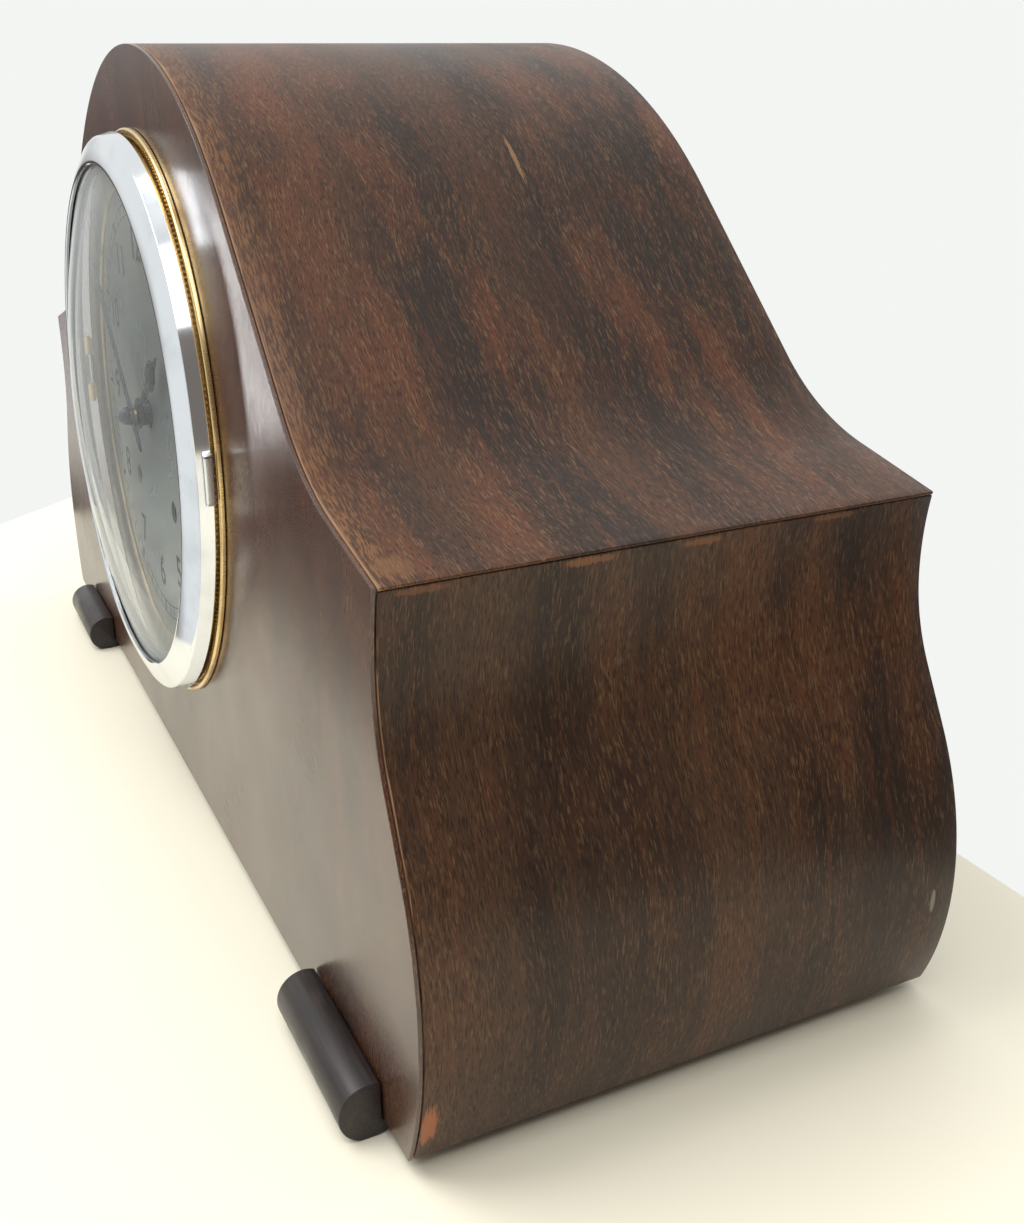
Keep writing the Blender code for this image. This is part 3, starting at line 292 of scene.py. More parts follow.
@dataclass(frozen=True)
class Veneer(Finish):
    """Stained veneer: broad bands, short rice-grain pores and pale flecks, all along the grain."""

    lie: Lie = Lie.GRAIN_MAP
    dark: Colour = (0.024, 0.0135, 0.0095)
    middle: Colour = (0.052, 0.027, 0.0155)
    red: Colour = (0.088, 0.035, 0.0175)
    ochre: Colour = (0.150, 0.084, 0.040)
    band: float = 34.0 * MM
    seed: float = 3.0
    contrast: float = 1.0
    worn_edge: float = 0.0
    flecked_strip: float = 0.0
    relief: float = 0.22
    sheen: float = 0.30
    edge: Colour = (0.34, 0.19, 0.10)
    spots: tuple[Spot, ...] = ()

    def paint(self, graph: Graph, shader: bpy.types.Node) -> None:
        """Layer bands, patches, pores, flecks, wear and marks."""
        place = self.place(graph, self.lie)
        wave = graph.noise(place, round_marks(60.0 * MM), self.seed + 9.0)
        across = graph.node("ShaderNodeCombineXYZ", {}, {"Y": (wave - 0.5) * (10.0 * MM)})
        bent = graph.vector("ADD", place, across)
        patch = graph.noise(bent, along(55.0 * MM, 15.0 * MM), self.seed + 21.0, 3.0)
        fibre = graph.noise(bent, along(26.0 * MM, 1.7 * MM), self.seed + 5.0, 3.0)
        pore = graph.noise(bent, along(2.6 * MM, 0.34 * MM), self.seed + 37.0, 2.0)
        fleck = graph.noise(bent, along(3.2 * MM, 0.42 * MM), self.seed + 53.0, 2.0)
        colour = self.stain(graph, bent, patch, fibre)
        shown = graph.smooth(patch, 0.30, 0.62) * 0.55 + 0.28
        colour = graph.mix(graph.smooth(fleck, 0.52, 0.68) * shown, colour, self.ochre)
        colour = graph.mix(graph.smooth(pore, 0.50, 0.64) * 0.70, colour, PORE_BLACK)
        colour = self.wear(graph, place, colour, (patch, fibre, fleck))
        ragged = (fibre - 0.5) * 2.2 + (pore - 0.5) * 1.2
        for spot in self.spots:
            colour = graph.mix(spot.mask(graph, place, ragged), colour, spot.colour)
        graph.feed(shader.inputs["Base Color"], colour)
        smear = graph.noise(place, round_marks(35.0 * MM), self.seed + 71.0, 3.0)
        graph.feed(shader.inputs["Roughness"], self.roughness + (smear - 0.5) * 0.16 + pore * 0.10 - 0.05)
        shader.inputs["Specular IOR Level"].default_value = self.sheen
        height = pore * 0.5 + fibre * 0.3 + smear * 0.8
        self.bump(graph, shader, height, self.relief, 0.12 * MM)

    def stain(self, graph: Graph, bent: Wire, patch: Wire, fibre: Wire) -> Wire:
        """Return the stained wood's colour: dark and middle bands, red patches and fibres."""
        broad = graph.noise(bent, along(7.0 * self.band, self.band), self.seed, 1.0)
        colour = graph.mix(graph.smooth(broad, 0.36, 0.64) * self.contrast, self.dark, self.middle)
        colour = graph.mix(graph.smooth(patch, 0.44, 0.72) * (0.75 * self.contrast), colour, self.red)
        colour = graph.mix(graph.smooth(fibre, 0.45, 0.75) * 0.35, colour, self.red)
        return graph.mix(graph.smooth(fibre, 0.50, 0.25) * 0.40, colour, self.dark)

    def wear(self, graph: Graph, place: Wire, colour: Wire, marks: tuple[Wire, Wire, Wire]) -> Wire:
        """Return a colour with the flecked strip and the worn line along the front edge.

        Args:
            graph: the material's graph.
            place: the place on the piece, whose Y runs back from the front edge.
            colour: the colour under the wear.
            marks: the patches, the fibres and the flecks.

        Returns:
            The worn colour.
        """
        patch, fibre, fleck = marks
        back = graph.axis(place, "Y")
        if self.flecked_strip:
            strip = 1.0 - graph.smooth(back + (patch - 0.5) * (16.0 * MM), 2.0 * MM, self.flecked_strip)
            strip = strip * (graph.smooth(fleck, 0.42, 0.60) * 0.70 + 0.15)
            colour = graph.mix(strip, colour, FLECK_ORANGE)
        if self.worn_edge:
            front = back + (fibre - 0.5) * (2.4 * MM) + (patch - 0.5) * (3.0 * MM)
            worn = 1.0 - graph.smooth(front, 1.2 * MM, 1.0 * MM + self.worn_edge)
            colour = graph.mix(worn * 0.85, colour, self.edge)
        return colour


@dataclass(frozen=True)
class Ebonised(Finish):
    """Black-brown stained hardwood with faint grain and a rubbed sheen."""

    lie: Lie = Lie.LEVEL

    def paint(self, graph: Graph, shader: bpy.types.Node) -> None:
        """Lay faint grain, rubbed patches and fine pores."""
        place = self.place(graph, self.lie)
        grain = graph.noise(place, along(18.0 * MM, 1.1 * MM), 4.0, 3.0)
        rubbed = graph.noise(place, along(9.0 * MM, 6.0 * MM), 14.0, 3.0)
        pore = graph.noise(place, along(2.6 * MM, 0.35 * MM), 24.0)
        colour = graph.mix(graph.smooth(grain, 0.35, 0.75), (0.011, 0.0075, 0.0075), (0.030, 0.019, 0.017))
        colour = graph.mix(graph.smooth(rubbed, 0.60, 0.80) * 0.5, colour, (0.055, 0.036, 0.030))
        graph.feed(shader.inputs["Base Color"], colour)
        graph.feed(shader.inputs["Roughness"], self.roughness + (rubbed - 0.5) * 0.3)
        self.bump(graph, shader, pore * 0.6 + grain, 0.25, 0.15 * MM)


@dataclass(frozen=True)
class Softwood(Finish):
    """Bare carcase wood with growth rings and handling dirt."""

    def paint(self, graph: Graph, shader: bpy.types.Node) -> None:
        """Lay growth rings, fibres and dirt."""
        place = self.place(graph, Lie.LEVEL)
        ring = graph.noise(place, along(120.0 * MM, 7.0 * MM), 6.0, 3.0)
        fibre = graph.noise(place, along(14.0 * MM, 0.7 * MM), 16.0, 3.0)
        dirt = graph.noise(place, along(30.0 * MM, 22.0 * MM), 26.0, 4.0)
        colour = graph.mix(graph.smooth(ring, 0.35, 0.65), (0.40, 0.24, 0.11), (0.25, 0.125, 0.050))
        colour = graph.mix(graph.smooth(fibre, 0.5, 0.8) * 0.4, colour, (0.16, 0.08, 0.035))
        colour = graph.mix(graph.smooth(dirt, 0.5, 0.8) * 0.5, colour, (0.10, 0.055, 0.030))
        graph.feed(shader.inputs["Base Color"], colour)
        self.bump(graph, shader, fibre + ring * 0.4, 0.4, 0.25 * MM)


@dataclass(frozen=True)
class Plated(Finish):
    """Polished or lacquered metal with pits, smears and brushed lines."""

    bright: Colour = (0.80, 0.83, 0.87)
    dull: Colour = (0.52, 0.54, 0.57)
    pit: Colour = (0.10, 0.08, 0.06)
    pit_size: float = 0.7 * MM
    pits: float = 0.72
    tarnish: float = 0.35
    brushed: float = 0.0

    def paint(self, graph: Graph, shader: bpy.types.Node) -> None:
        """Lay tarnish, pits and smears."""
        place = self.place(graph, Lie.AS_MADE)
        cloud = graph.noise(place, round_marks(14.0 * MM), 5.0, 4.0)
        small = graph.noise(place, round_marks(self.pit_size), 15.0, 2.0)
        lines = graph.noise(place, (40.0 * MM, 40.0 * MM, 0.25 * MM), 25.0, 2.0)
        pitted = graph.smooth(small, self.pits, self.pits + 0.06)
        colour = graph.mix(graph.smooth(cloud, 0.45, 0.80) * self.tarnish, self.bright, self.dull)
        colour = graph.mix(pitted * 0.7, colour, self.pit)
        graph.feed(shader.inputs["Base Color"], colour)
        rough = self.roughness + graph.smooth(cloud, 0.4, 0.8) * 0.10 + pitted * 0.3
        graph.feed(shader.inputs["Roughness"], rough + lines * self.brushed)
        self.bump(graph, shader, lines * self.brushed + cloud * 0.25 - pitted * 0.5, 0.12, 0.10 * MM)


@dataclass(frozen=True)
class Silvering(Finish):
    """Matt silvered dial: fine grained, with faint yellowing and specks."""

    def paint(self, graph: Graph, shader: bpy.types.Node) -> None:
        """Lay the grained silver, yellowing and specks."""
        place = self.place(graph, Lie.AS_MADE)
        tone = graph.noise(place, round_marks(38.0 * MM), 2.0, 3.0)
        grit = graph.noise(place, round_marks(0.35 * MM), 12.0, 2.0)
        speck = graph.noise(place, round_marks(1.3 * MM), 22.0, 1.0)
        colour = graph.mix(graph.smooth(tone, 0.35, 0.70), (0.30, 0.335, 0.35), (0.36, 0.36, 0.33))
        colour = graph.mix(graph.smooth(speck, 0.74, 0.80) * 0.6, colour, (0.16, 0.13, 0.09))
        graph.feed(shader.inputs["Base Color"], colour)
        graph.feed(shader.inputs["Roughness"], self.roughness + (tone - 0.5) * 0.2)
        self.bump(graph, shader, grit, 0.15, 0.05 * MM)


@dataclass(frozen=True)
class DomeGlass(Finish):
    """Clear thin glass: see-through face on, mirror-like at a low angle, with dust and wiped smears."""

    falloff: float = 7.0

    def paint(self, graph: Graph, shader: bpy.types.Node) -> None:
        """Mix a see-through face with a glossy one by angle, under a trace of dust."""
        place = self.place(graph, Lie.AS_MADE)
        smear = graph.noise(place, (22.0 * MM, 22.0 * MM, 7.0 * MM), 8.0, 4.0)
        dust = graph.noise(place, round_marks(0.5 * MM), 18.0, 1.0)
        shader.inputs["Base Color"].default_value = (0.93, 0.96, 0.96, 1.0)
        graph.feed(shader.inputs["Roughness"], 0.02 + graph.smooth(smear, 0.5, 0.8) * 0.05)
        clear = graph.node("ShaderNodeBsdfTransparent", {}, {"Color": (0.96, 0.975, 0.97, 1.0)})
        slant = graph.node("ShaderNodeLayerWeight", {}, {"Blend": 0.5}, "Facing")
        steep = graph.maths("POWER", slant, self.falloff)
        film = graph.smooth(smear, 0.35, 0.9) * 0.02 + graph.smooth(dust, 0.70, 0.78) * 0.20
        share = steep * 0.95 + 0.03 + film
        glossy = Wire(graph, shader.outputs[0])
        both = graph.node("ShaderNodeMixShader", {}, {0: share, 1: clear, 2: glossy})
        out = next(node for node in graph.tree.nodes if node.type == "OUTPUT_MATERIAL")
        graph.feed(out.inputs["Surface"], both)


@dataclass(frozen=True)
class Paint(Finish):
    """Dark paint, blueing or card with a slight mottle."""

    colour: Colour = (0.012, 0.012, 0.013)
    other: Colour = (0.022, 0.021, 0.021)

    def paint(self, graph: Graph, shader: bpy.types.Node) -> None:
        """Lay two near tones and a fine surface."""
        place = self.place(graph, Lie.AS_MADE)
        tone = graph.noise(place, round_marks(5.0 * MM), 3.0, 3.0)
        grit = graph.noise(place, round_marks(0.4 * MM), 13.0, 2.0)
        colour = graph.mix(graph.smooth(tone, 0.35, 0.7), self.colour, self.other)
        graph.feed(shader.inputs["Base Color"], colour)
        graph.feed(shader.inputs["Roughness"], self.roughness + (tone - 0.5) * 0.2)
        self.bump(graph, shader, grit, 0.12, 0.05 * MM)


BARE_CHIP: Colour = (0.36, 0.115, 0.040)
JOINT_CHIP: Colour = (0.23, 0.095, 0.036)
DARK_CHIP: Colour = (0.20, 0.080, 0.032)
RUBBED: Colour = (0.30, 0.27, 0.24)
SCRATCH: Colour = (0.36, 0.20, 0.08)
WORN_CORNER: Colour = (0.24, 0.12, 0.045)
PORE_BLACK: Colour = (0.011, 0.0062, 0.0048)
FLECK_ORANGE: Colour = (0.20, 0.088, 0.034)

TOP_MARKS = (
    Spot(0.105, 0.088, 8.0 * MM, 0.7 * MM, SCRATCH, 0.60),
    Spot(0.238, 0.007, 4.0 * MM, 4.0 * MM, WORN_CORNER, 0.35))
SIDE_MARKS = (
    Spot(0.0014, 0.050, 1.0 * MM, 6.5 * MM, JOINT_CHIP, 0.70),
    Spot(0.0016, 0.078, 0.9 * MM, 4.5 * MM, JOINT_CHIP, 0.60),
    Spot(0.0012, 0.115, 0.8 * MM, 6.0 * MM, DARK_CHIP, 0.55),
    Spot(0.0012, 0.010, 0.8 * MM, 6.0 * MM, DARK_CHIP, 0.55),
    Spot(0.122, 0.0026, 6.0 * MM, 2.0 * MM, BARE_CHIP, 0.85),
    Spot(0.104, 0.1375, 3.6 * MM, 0.8 * MM, RUBBED, 0.7))


@dataclass(frozen=True)
class Finishes:
    """Every finish on the clock."""

    top: Veneer = Veneer("top_veneer", Slot.CASE, 0.38, seed=3.0, worn_edge=1.3 * MM,
                         flecked_strip=15.0 * MM, dark=(0.026, 0.0155, 0.0115),
                         middle=(0.080, 0.034, 0.0165), red=(0.145, 0.045, 0.018),
                         ochre=(0.175, 0.098, 0.046), spots=TOP_MARKS)
    side: Veneer = Veneer("side_veneer", Slot.CASE, 0.36, worn_edge=0.5 * MM, seed=11.0, band=26.0 * MM,
                          middle=(0.064, 0.032, 0.018), red=(0.112, 0.042, 0.019), spots=SIDE_MARKS)
    front: Veneer = Veneer("front_board_veneer", Slot.FRONT, 0.24, lie=Lie.UPRIGHT, seed=29.0, contrast=0.7,
                           relief=0.015, sheen=0.80, dark=(0.034, 0.014, 0.010),
                           middle=(0.074, 0.030, 0.014), red=(0.105, 0.036, 0.016),
                           ochre=(0.16, 0.072, 0.030))
    back: Veneer = Veneer("back_veneer", Slot.CASE, 0.42, lie=Lie.UPRIGHT, seed=41.0)
    carcase: Softwood = Softwood("carcase_softwood", Slot.CARCASE, 0.75)
    foot: Ebonised = Ebonised("ebonised_bar", Slot.FOOT, 0.36)
    chrome: Plated = Plated("chrome_plate", Slot.CHROME, 0.10, 1.0)
    dial_brass: Plated = Plated("lacquered_brass", Slot.DIAL_BRASS, 0.20, 1.0, bright=(0.80, 0.60, 0.30),
                                dull=(0.42, 0.25, 0.09), tarnish=0.75, brushed=0.10)
    # The sight ring's brass is a darker, browner copy of the dial brass: painted shade where the ring sits
    # inside the bezel, and a painted reflection of the brown wood.
    sight_brass: Plated = Plated("aged_sight_brass", Slot.DIAL_BRASS, 0.30, 1.0, bright=(0.55, 0.40, 0.22),
                                 dull=(0.22, 0.13, 0.06), tarnish=0.9)
    brass: Plated = Plated("clock_brass", Slot.BRASS, 0.26, 1.0, bright=(0.78, 0.55, 0.24),
                           dull=(0.40, 0.24, 0.09), tarnish=0.6, brushed=0.14)
    steel: Plated = Plated("bright_steel", Slot.STEEL, 0.28, 1.0, bright=(0.52, 0.53, 0.55),
                           dull=(0.26, 0.24, 0.23), tarnish=0.6, brushed=0.10)
    silvering: Silvering = Silvering("silvered_face", Slot.DIAL, 0.30, 0.70)
    glass: DomeGlass = DomeGlass("dome_glass", Slot.GLASS, 0.02)
    black: Paint = Paint("black_card", Slot.BLACK, 0.6)
    print: Paint = Paint("dial_black", Slot.BLACK, 0.5)
    blued: Paint = Paint("blued_steel", Slot.HANDS, 0.28, 0.7, colour=(0.020, 0.022, 0.032),
                         other=(0.030, 0.034, 0.055))


FINISH = Finishes()


# ---------------------------------------------------------------- solids

@dataclass(frozen=True)
class CaseFrame:
    """Where the case frame lies in the loaded frame."""

    origin: Vector
    dial_z: float
    depth: float

    @classmethod
    def read(cls) -> "CaseFrame":
        """Work the frame out from the boxes of the front board, the bezel and the top."""
        low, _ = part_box("front_board")
        ring_low, ring_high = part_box("bezel_ring")
        _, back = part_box("top_arch")
        dial_z = (ring_low.z + ring_high.z) / 2 - low.z
        return cls(Vector((0.0, low.y, low.z)), dial_z, back.y - low.y)


FRAME = CaseFrame.read()


def circle(radius: float, sides: int, centre: Point = (0.0, 0.0)) -> list[Point]:
    """Return the corners of a regular polygon on a circle."""
    step = 2 * math.pi / sides
    return [(centre[0] + radius * math.cos(step * i), centre[1] + radius * math.sin(step * i))
            for i in range(sides)]


def mirrored(points: Sequence[Point]) -> list[Point]:
    """Return the points of the left half that match a right half, in the opposite order."""
    return [(-x, z) for x, z in reversed(points)]


def prism(outline: Sequence[Point], low: float, high: float, holes: Sequence[Sequence[Point]] = (),
          bm: Optional[bmesh.types.BMesh] = None) -> bmesh.types.BMesh:
    """Return an outline in X and Z made solid between two places on Y.

    Args:
        outline: the outer corners in order.
        low: the near face's Y.
        high: the far face's Y.
        holes: outlines of the holes through it.
        bm: a bmesh to add the solid to.

    Returns:
        The bmesh, with faces that point outwards.
    """
    single = bmesh.new()
    for loop in (outline, *holes):
        corners = [single.verts.new((u, low, v)) for u, v in loop]
        for i, corner in enumerate(corners):
            single.edges.new((corner, corners[(i + 1) % len(corners)]))
    bmesh.ops.triangle_fill(single, edges=single.edges[:], use_beauty=True)
    bmesh.ops.dissolve_limit(single, angle_limit=0.01, verts=[], edges=single.edges[:])
    grown = bmesh.ops.extrude_face_region(single, geom=single.faces[:])["geom"]
    moved = [item for item in grown if isinstance(item, bmesh.types.BMVert)]
    bmesh.ops.translate(single, verts=moved, vec=(0.0, high - low, 0.0))
    bmesh.ops.recalc_face_normals(single, faces=single.faces[:])
    if bm is None:
        return single
    mesh = bpy.data.meshes.new("part")
    single.to_mesh(mesh)
    single.free()
    bm.from_mesh(mesh)
    bpy.data.meshes.remove(mesh)
    return bm


def turned(profile: Sequence[Point], sides: int, centre: Point) -> bmesh.types.BMesh:
    """Return a profile of (radius, y) points turned about an axis along Y.

    Args:
        profile: the points; one of radius zero is a pole, and a profile without poles is a ring.
        sides: how many faces go round.
        centre: the axis's X and Z.

    Returns:
        The bmesh, with faces that point outwards.
    """
    bm = bmesh.new()
    rings = []
    for radius, y in profile:
        if radius == 0.0:
            rings.append([bm.verts.new((centre[0], y, centre[1]))] * sides)
        else:
            rings.append([bm.verts.new((x, y, z)) for x, z in circle(radius, sides, centre)])
    closed = all(radius > 0.0 for radius, _ in profile)
    for i in range(len(rings) if closed else len(rings) - 1):
        near, far = rings[i], rings[(i + 1) % len(rings)]
        for j in range(sides):
            k = (j + 1) % sides
            corners = list(dict.fromkeys((near[j], near[k], far[k], far[j])))
            if len(corners) > 2:
                bm.faces.new(corners)
    bmesh.ops.recalc_face_normals(bm, faces=bm.faces[:])
    return bm


@dataclass
class Piece:
    """Turns a bmesh in the case frame into a finished, riding object."""

    name: str
    body: str
    finish: Finish
    replaces: tuple[str, ...] = ()
    ease: float = 0.0
    ease_segments: int = 2
    smooth_angle: float = 35.0

    def make(self, bm: bmesh.types.BMesh) -> bpy.types.Object:
        """Make the object from a bmesh in the case frame.

        Args:
            bm: the shape; it is freed.

        Returns:
            The object at the origin, with its place in its mesh.
        """
        bmesh.ops.translate(bm, verts=bm.verts[:], vec=FRAME.origin)
        mesh = bpy.data.meshes.new(self.name)
        bm.to_mesh(mesh)
        bm.free()
        obj = bpy.data.objects.new(self.name, mesh)
        bpy.context.collection.objects.link(obj)
        if self.ease:
            self._ease_edges(obj)
        return self.dress(obj)

    def _ease_edges(self, obj: bpy.types.Object) -> None:
        """Round the sharp edges and keep the result as a plain mesh."""
        edges = obj.modifiers.new("eased_edges", "BEVEL")
        edges.width = self.ease
        edges.segments = self.ease_segments
        edges.limit_method = "ANGLE"
        edges.angle_limit = math.radians(40)
        flatten(obj)

    def dress(self, obj: bpy.types.Object) -> bpy.types.Object:
        """Shade, dress, place and log a finished object."""
        obj.data.shade_smooth()
        obj.data.set_sharp_from_angle(angle=math.radians(self.smooth_angle))
        obj.data.materials.clear()
        obj.data.materials.append(self.finish.material())
        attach(obj, self.body)
        if self.replaces:
            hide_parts(*self.replaces)
        LOG.info("%s rides on %s", self.name, self.body)
        return obj


def flatten(obj: bpy.types.Object) -> None:
    """Swap an object's mesh for its evaluated one and drop its modifiers."""
    graph = bpy.context.evaluated_depsgraph_get()
    mesh = bpy.data.meshes.new_from_object(obj.evaluated_get(graph), depsgraph=graph)
    obj.modifiers.clear()
    old = obj.data
    obj.data = mesh
    mesh.name = obj.name
    bpy.data.meshes.remove(old)


# ---------------------------------------------------------------- shapes that follow a rule

class ShapeTree:
    """A Geometry Nodes tree with named sizes, run once for each piece and kept as a plain mesh."""

    def __init__(self, name: str, sizes: dict[str, tuple[str, Feed]]) -> None:
        """Make the tree and its inputs.

        Args:
            name: the tree's name.
            sizes: each input's name, with its socket type and its value.
        """
        self.tree = bpy.data.node_groups.new(name, "GeometryNodeTree")
        self.sizes = sizes
        sockets = self.tree.interface
        sockets.new_socket("Geometry", in_out="INPUT", socket_type="NodeSocketGeometry")
        for label, (kind, value) in sizes.items():
            socket = sockets.new_socket(label, in_out="INPUT", socket_type=kind)
            if value is not None:
                socket.default_value = value
        sockets.new_socket("Geometry", in_out="OUTPUT", socket_type="NodeSocketGeometry")
        self.graph = Graph(self.tree)
        self.entry = self.tree.nodes.new("NodeGroupInput")
        self.exit = self.tree.nodes.new("NodeGroupOutput")

    def size(self, label: str) -> Wire:
        """Return an input as a wire."""
        return Wire(self.graph, self.entry.outputs[label])

    def finish(self, instances: Wire) -> None:
        """Realize any copies, give the result its material and end the tree."""
        solid = self.graph.node("GeometryNodeRealizeInstances", {}, {"Geometry": instances})
        dressed = self.graph.node("GeometryNodeSetMaterial", {}, {"Geometry": solid,
                                                                 "Material": self.size("Material")})
        self.graph.feed(self.exit.inputs["Geometry"], dressed)

    def grow(self, piece: Piece, values: dict[str, object], places: Sequence[Vector] = (),
             swing: Matrix = Matrix.Identity(4)) -> bpy.types.Object:
        """Run the tree and return its result as a finished piece.

        Args:
            piece: the name, body and finish of the result.
            values: the inputs by name.
            places: points that the copies stand on, in the case frame.
            swing: a last movement of the result.

        Returns:
            The finished object.
        """
        mesh = bpy.data.meshes.new(piece.name)
        mesh.from_pydata([tuple(place + FRAME.origin) for place in places], [], [])
        obj = bpy.data.objects.new(piece.name, mesh)
        bpy.context.collection.objects.link(obj)
        change = obj.modifiers.new("repeat", "NODES")
        change.node_group = self.tree
        identifiers = {item.name: item.identifier for item in self.tree.interface.items_tree
                       if item.in_out == "INPUT"}
        for label, value in {**values, "Material": piece.finish.material()}.items():
            change[identifiers[label]] = value
        flatten(obj)
        obj.data.transform(swing)
        return piece.dress(obj)


class DomeShell(ShapeTree):
    """A thin domed glass: one grid rolled into a spherical cap and the smaller cap inside it."""

    def __init__(self) -> None:
        """Build the tree: the grid's rows run out along the front and back again along the inside."""
        super().__init__("dome_shell", {
            "Radius": ("NodeSocketFloat", 1.0), "Sphere": ("NodeSocketFloat", 1.0),
            "Front": ("NodeSocketFloat", 0.0), "Thickness": ("NodeSocketFloat", 0.0),
            "Centre": ("NodeSocketVector", (0.0, 0.0, 0.0)), "Material": ("NodeSocketMaterial", None)})
        graph = self.graph
        grid = graph.node("GeometryNodeMeshGrid", {}, {"Size X": 1.0, "Size Y": 1.0, "Vertices X": 129,
                                                       "Vertices Y": 33})
        spot = graph.node("GeometryNodeInputPosition", {}, {})
        angle = (graph.axis(spot, "X") + 0.5) * (-2 * math.pi)
        way = graph.axis(spot, "Y") + 0.5
        rim = 0.5
        inside = graph.maths("GREATER_THAN", way, rim + 0.001)
        reach = self.size("Radius") * (1.0 - graph.maths("ABSOLUTE", 1.0 - way * 2.0))
        sphere = self.size("Sphere") - self.size("Thickness") * inside
        sagitta = sphere - graph.maths("SQRT", sphere * sphere - reach * reach)
        moved = graph.node("ShaderNodeCombineXYZ", {}, {
            "X": reach * graph.maths("COSINE", angle), "Z": reach * graph.maths("SINE", angle),
            "Y": self.size("Front") + self.size("Thickness") * inside + sagitta})
        placed = graph.node("GeometryNodeSetPosition", {}, {
            "Geometry": grid, "Position": graph.vector("ADD", moved, self.size("Centre"))})
        closed = graph.node("GeometryNodeMergeByDistance", {}, {"Geometry": placed, "Distance": 0.02 * MM})
        self.finish(closed)


class RingOfBars(ShapeTree):
    """Small bars or beads set round a ring in the plane of the dial."""

    def __init__(self) -> None:
        """Build the tree: a ring of points, a bar on each turned to face the centre."""
        super().__init__("ring_of_bars", {
            "Count": ("NodeSocketInt", 60), "Radius": ("NodeSocketFloat", 1.0),
            "Bar": ("NodeSocketVector", (1.0, 1.0, 1.0)), "Centre": ("NodeSocketVector", (0.0, 0.0, 0.0)),
            "Turn": ("NodeSocketFloat", 0.0), "Material": ("NodeSocketMaterial", None)})
        graph = self.graph
        ring = graph.node("GeometryNodeMeshCircle", {}, {"Vertices": self.size("Count"),
                                                         "Radius": self.size("Radius")})
        bar = graph.node("GeometryNodeMeshCube", {}, {"Size": self.size("Bar")})
        index = graph.node("GeometryNodeInputIndex", {}, {})
        angle = index / self.size("Count") * (2 * math.pi)
        facing = graph.node("ShaderNodeCombineXYZ", {}, {"X": self.size("Turn"), "Z": angle})
        copies = graph.node("GeometryNodeInstanceOnPoints", {}, {"Points": ring, "Instance": bar,
                                                                 "Rotation": facing})
        upright = graph.node("GeometryNodeTransform", {}, {
            "Geometry": copies, "Translation": self.size("Centre"), "Rotation": (QUARTER_TURN, 0.0, 0.0)})
        self.finish(upright)


class SlottedScrews(ShapeTree):
    """Raised slotted screw heads on given points, facing along Y."""

    def __init__(self) -> None:
        """Build the tree: a domed head with a slot cut across it, a copy on each point."""
        super().__init__("slotted_screws", {
            "Head Radius": ("NodeSocketFloat", 1.0), "Head Height": ("NodeSocketFloat", 1.0),
            "Slot Width": ("NodeSocketFloat", 1.0), "Face": ("NodeSocketFloat", 1.0),
            "Material": ("NodeSocketMaterial", None)})
        graph = self.graph
        head = graph.node("GeometryNodeMeshCone", {}, {
            "Vertices": 20, "Radius Top": self.size("Head Radius") * 0.8,
            "Radius Bottom": self.size("Head Radius"), "Depth": self.size("Head Height")})
        across = graph.node("ShaderNodeCombineXYZ", {}, {
            "X": self.size("Head Radius") * 3.0, "Y": self.size("Slot Width"),
            "Z": self.size("Head Height")})
        slot = graph.node("GeometryNodeMeshCube", {}, {"Size": across})
        lifted = graph.node("GeometryNodeTransform", {}, {
            "Geometry": slot, "Translation": graph.node("ShaderNodeCombineXYZ", {}, {
                "Z": self.size("Head Height") * 1.1})})
        cut = graph.node("GeometryNodeMeshBoolean", {"operation": "DIFFERENCE", "solver": "FLOAT"},
                         {"Mesh 1": head, "Mesh 2": lifted})
        faced = graph.node("GeometryNodeTransform", {}, {"Geometry": cut, "Rotation": graph.node(
            "ShaderNodeCombineXYZ", {}, {"X": self.size("Face") * -QUARTER_TURN})})
        given = Wire(graph, self.entry.outputs["Geometry"])
        places = graph.node("GeometryNodeMeshToPoints", {}, {"Mesh": given})
        index = graph.node("GeometryNodeInputIndex", {}, {})
        turn = graph.node("ShaderNodeCombineXYZ", {}, {"Y": index * 0.9 + 0.3})
        copies = graph.node("GeometryNodeInstanceOnPoints", {}, {"Points": places, "Instance": faced,
                                                                 "Rotation": turn})
        self.finish(copies)


# ---------------------------------------------------------------- case

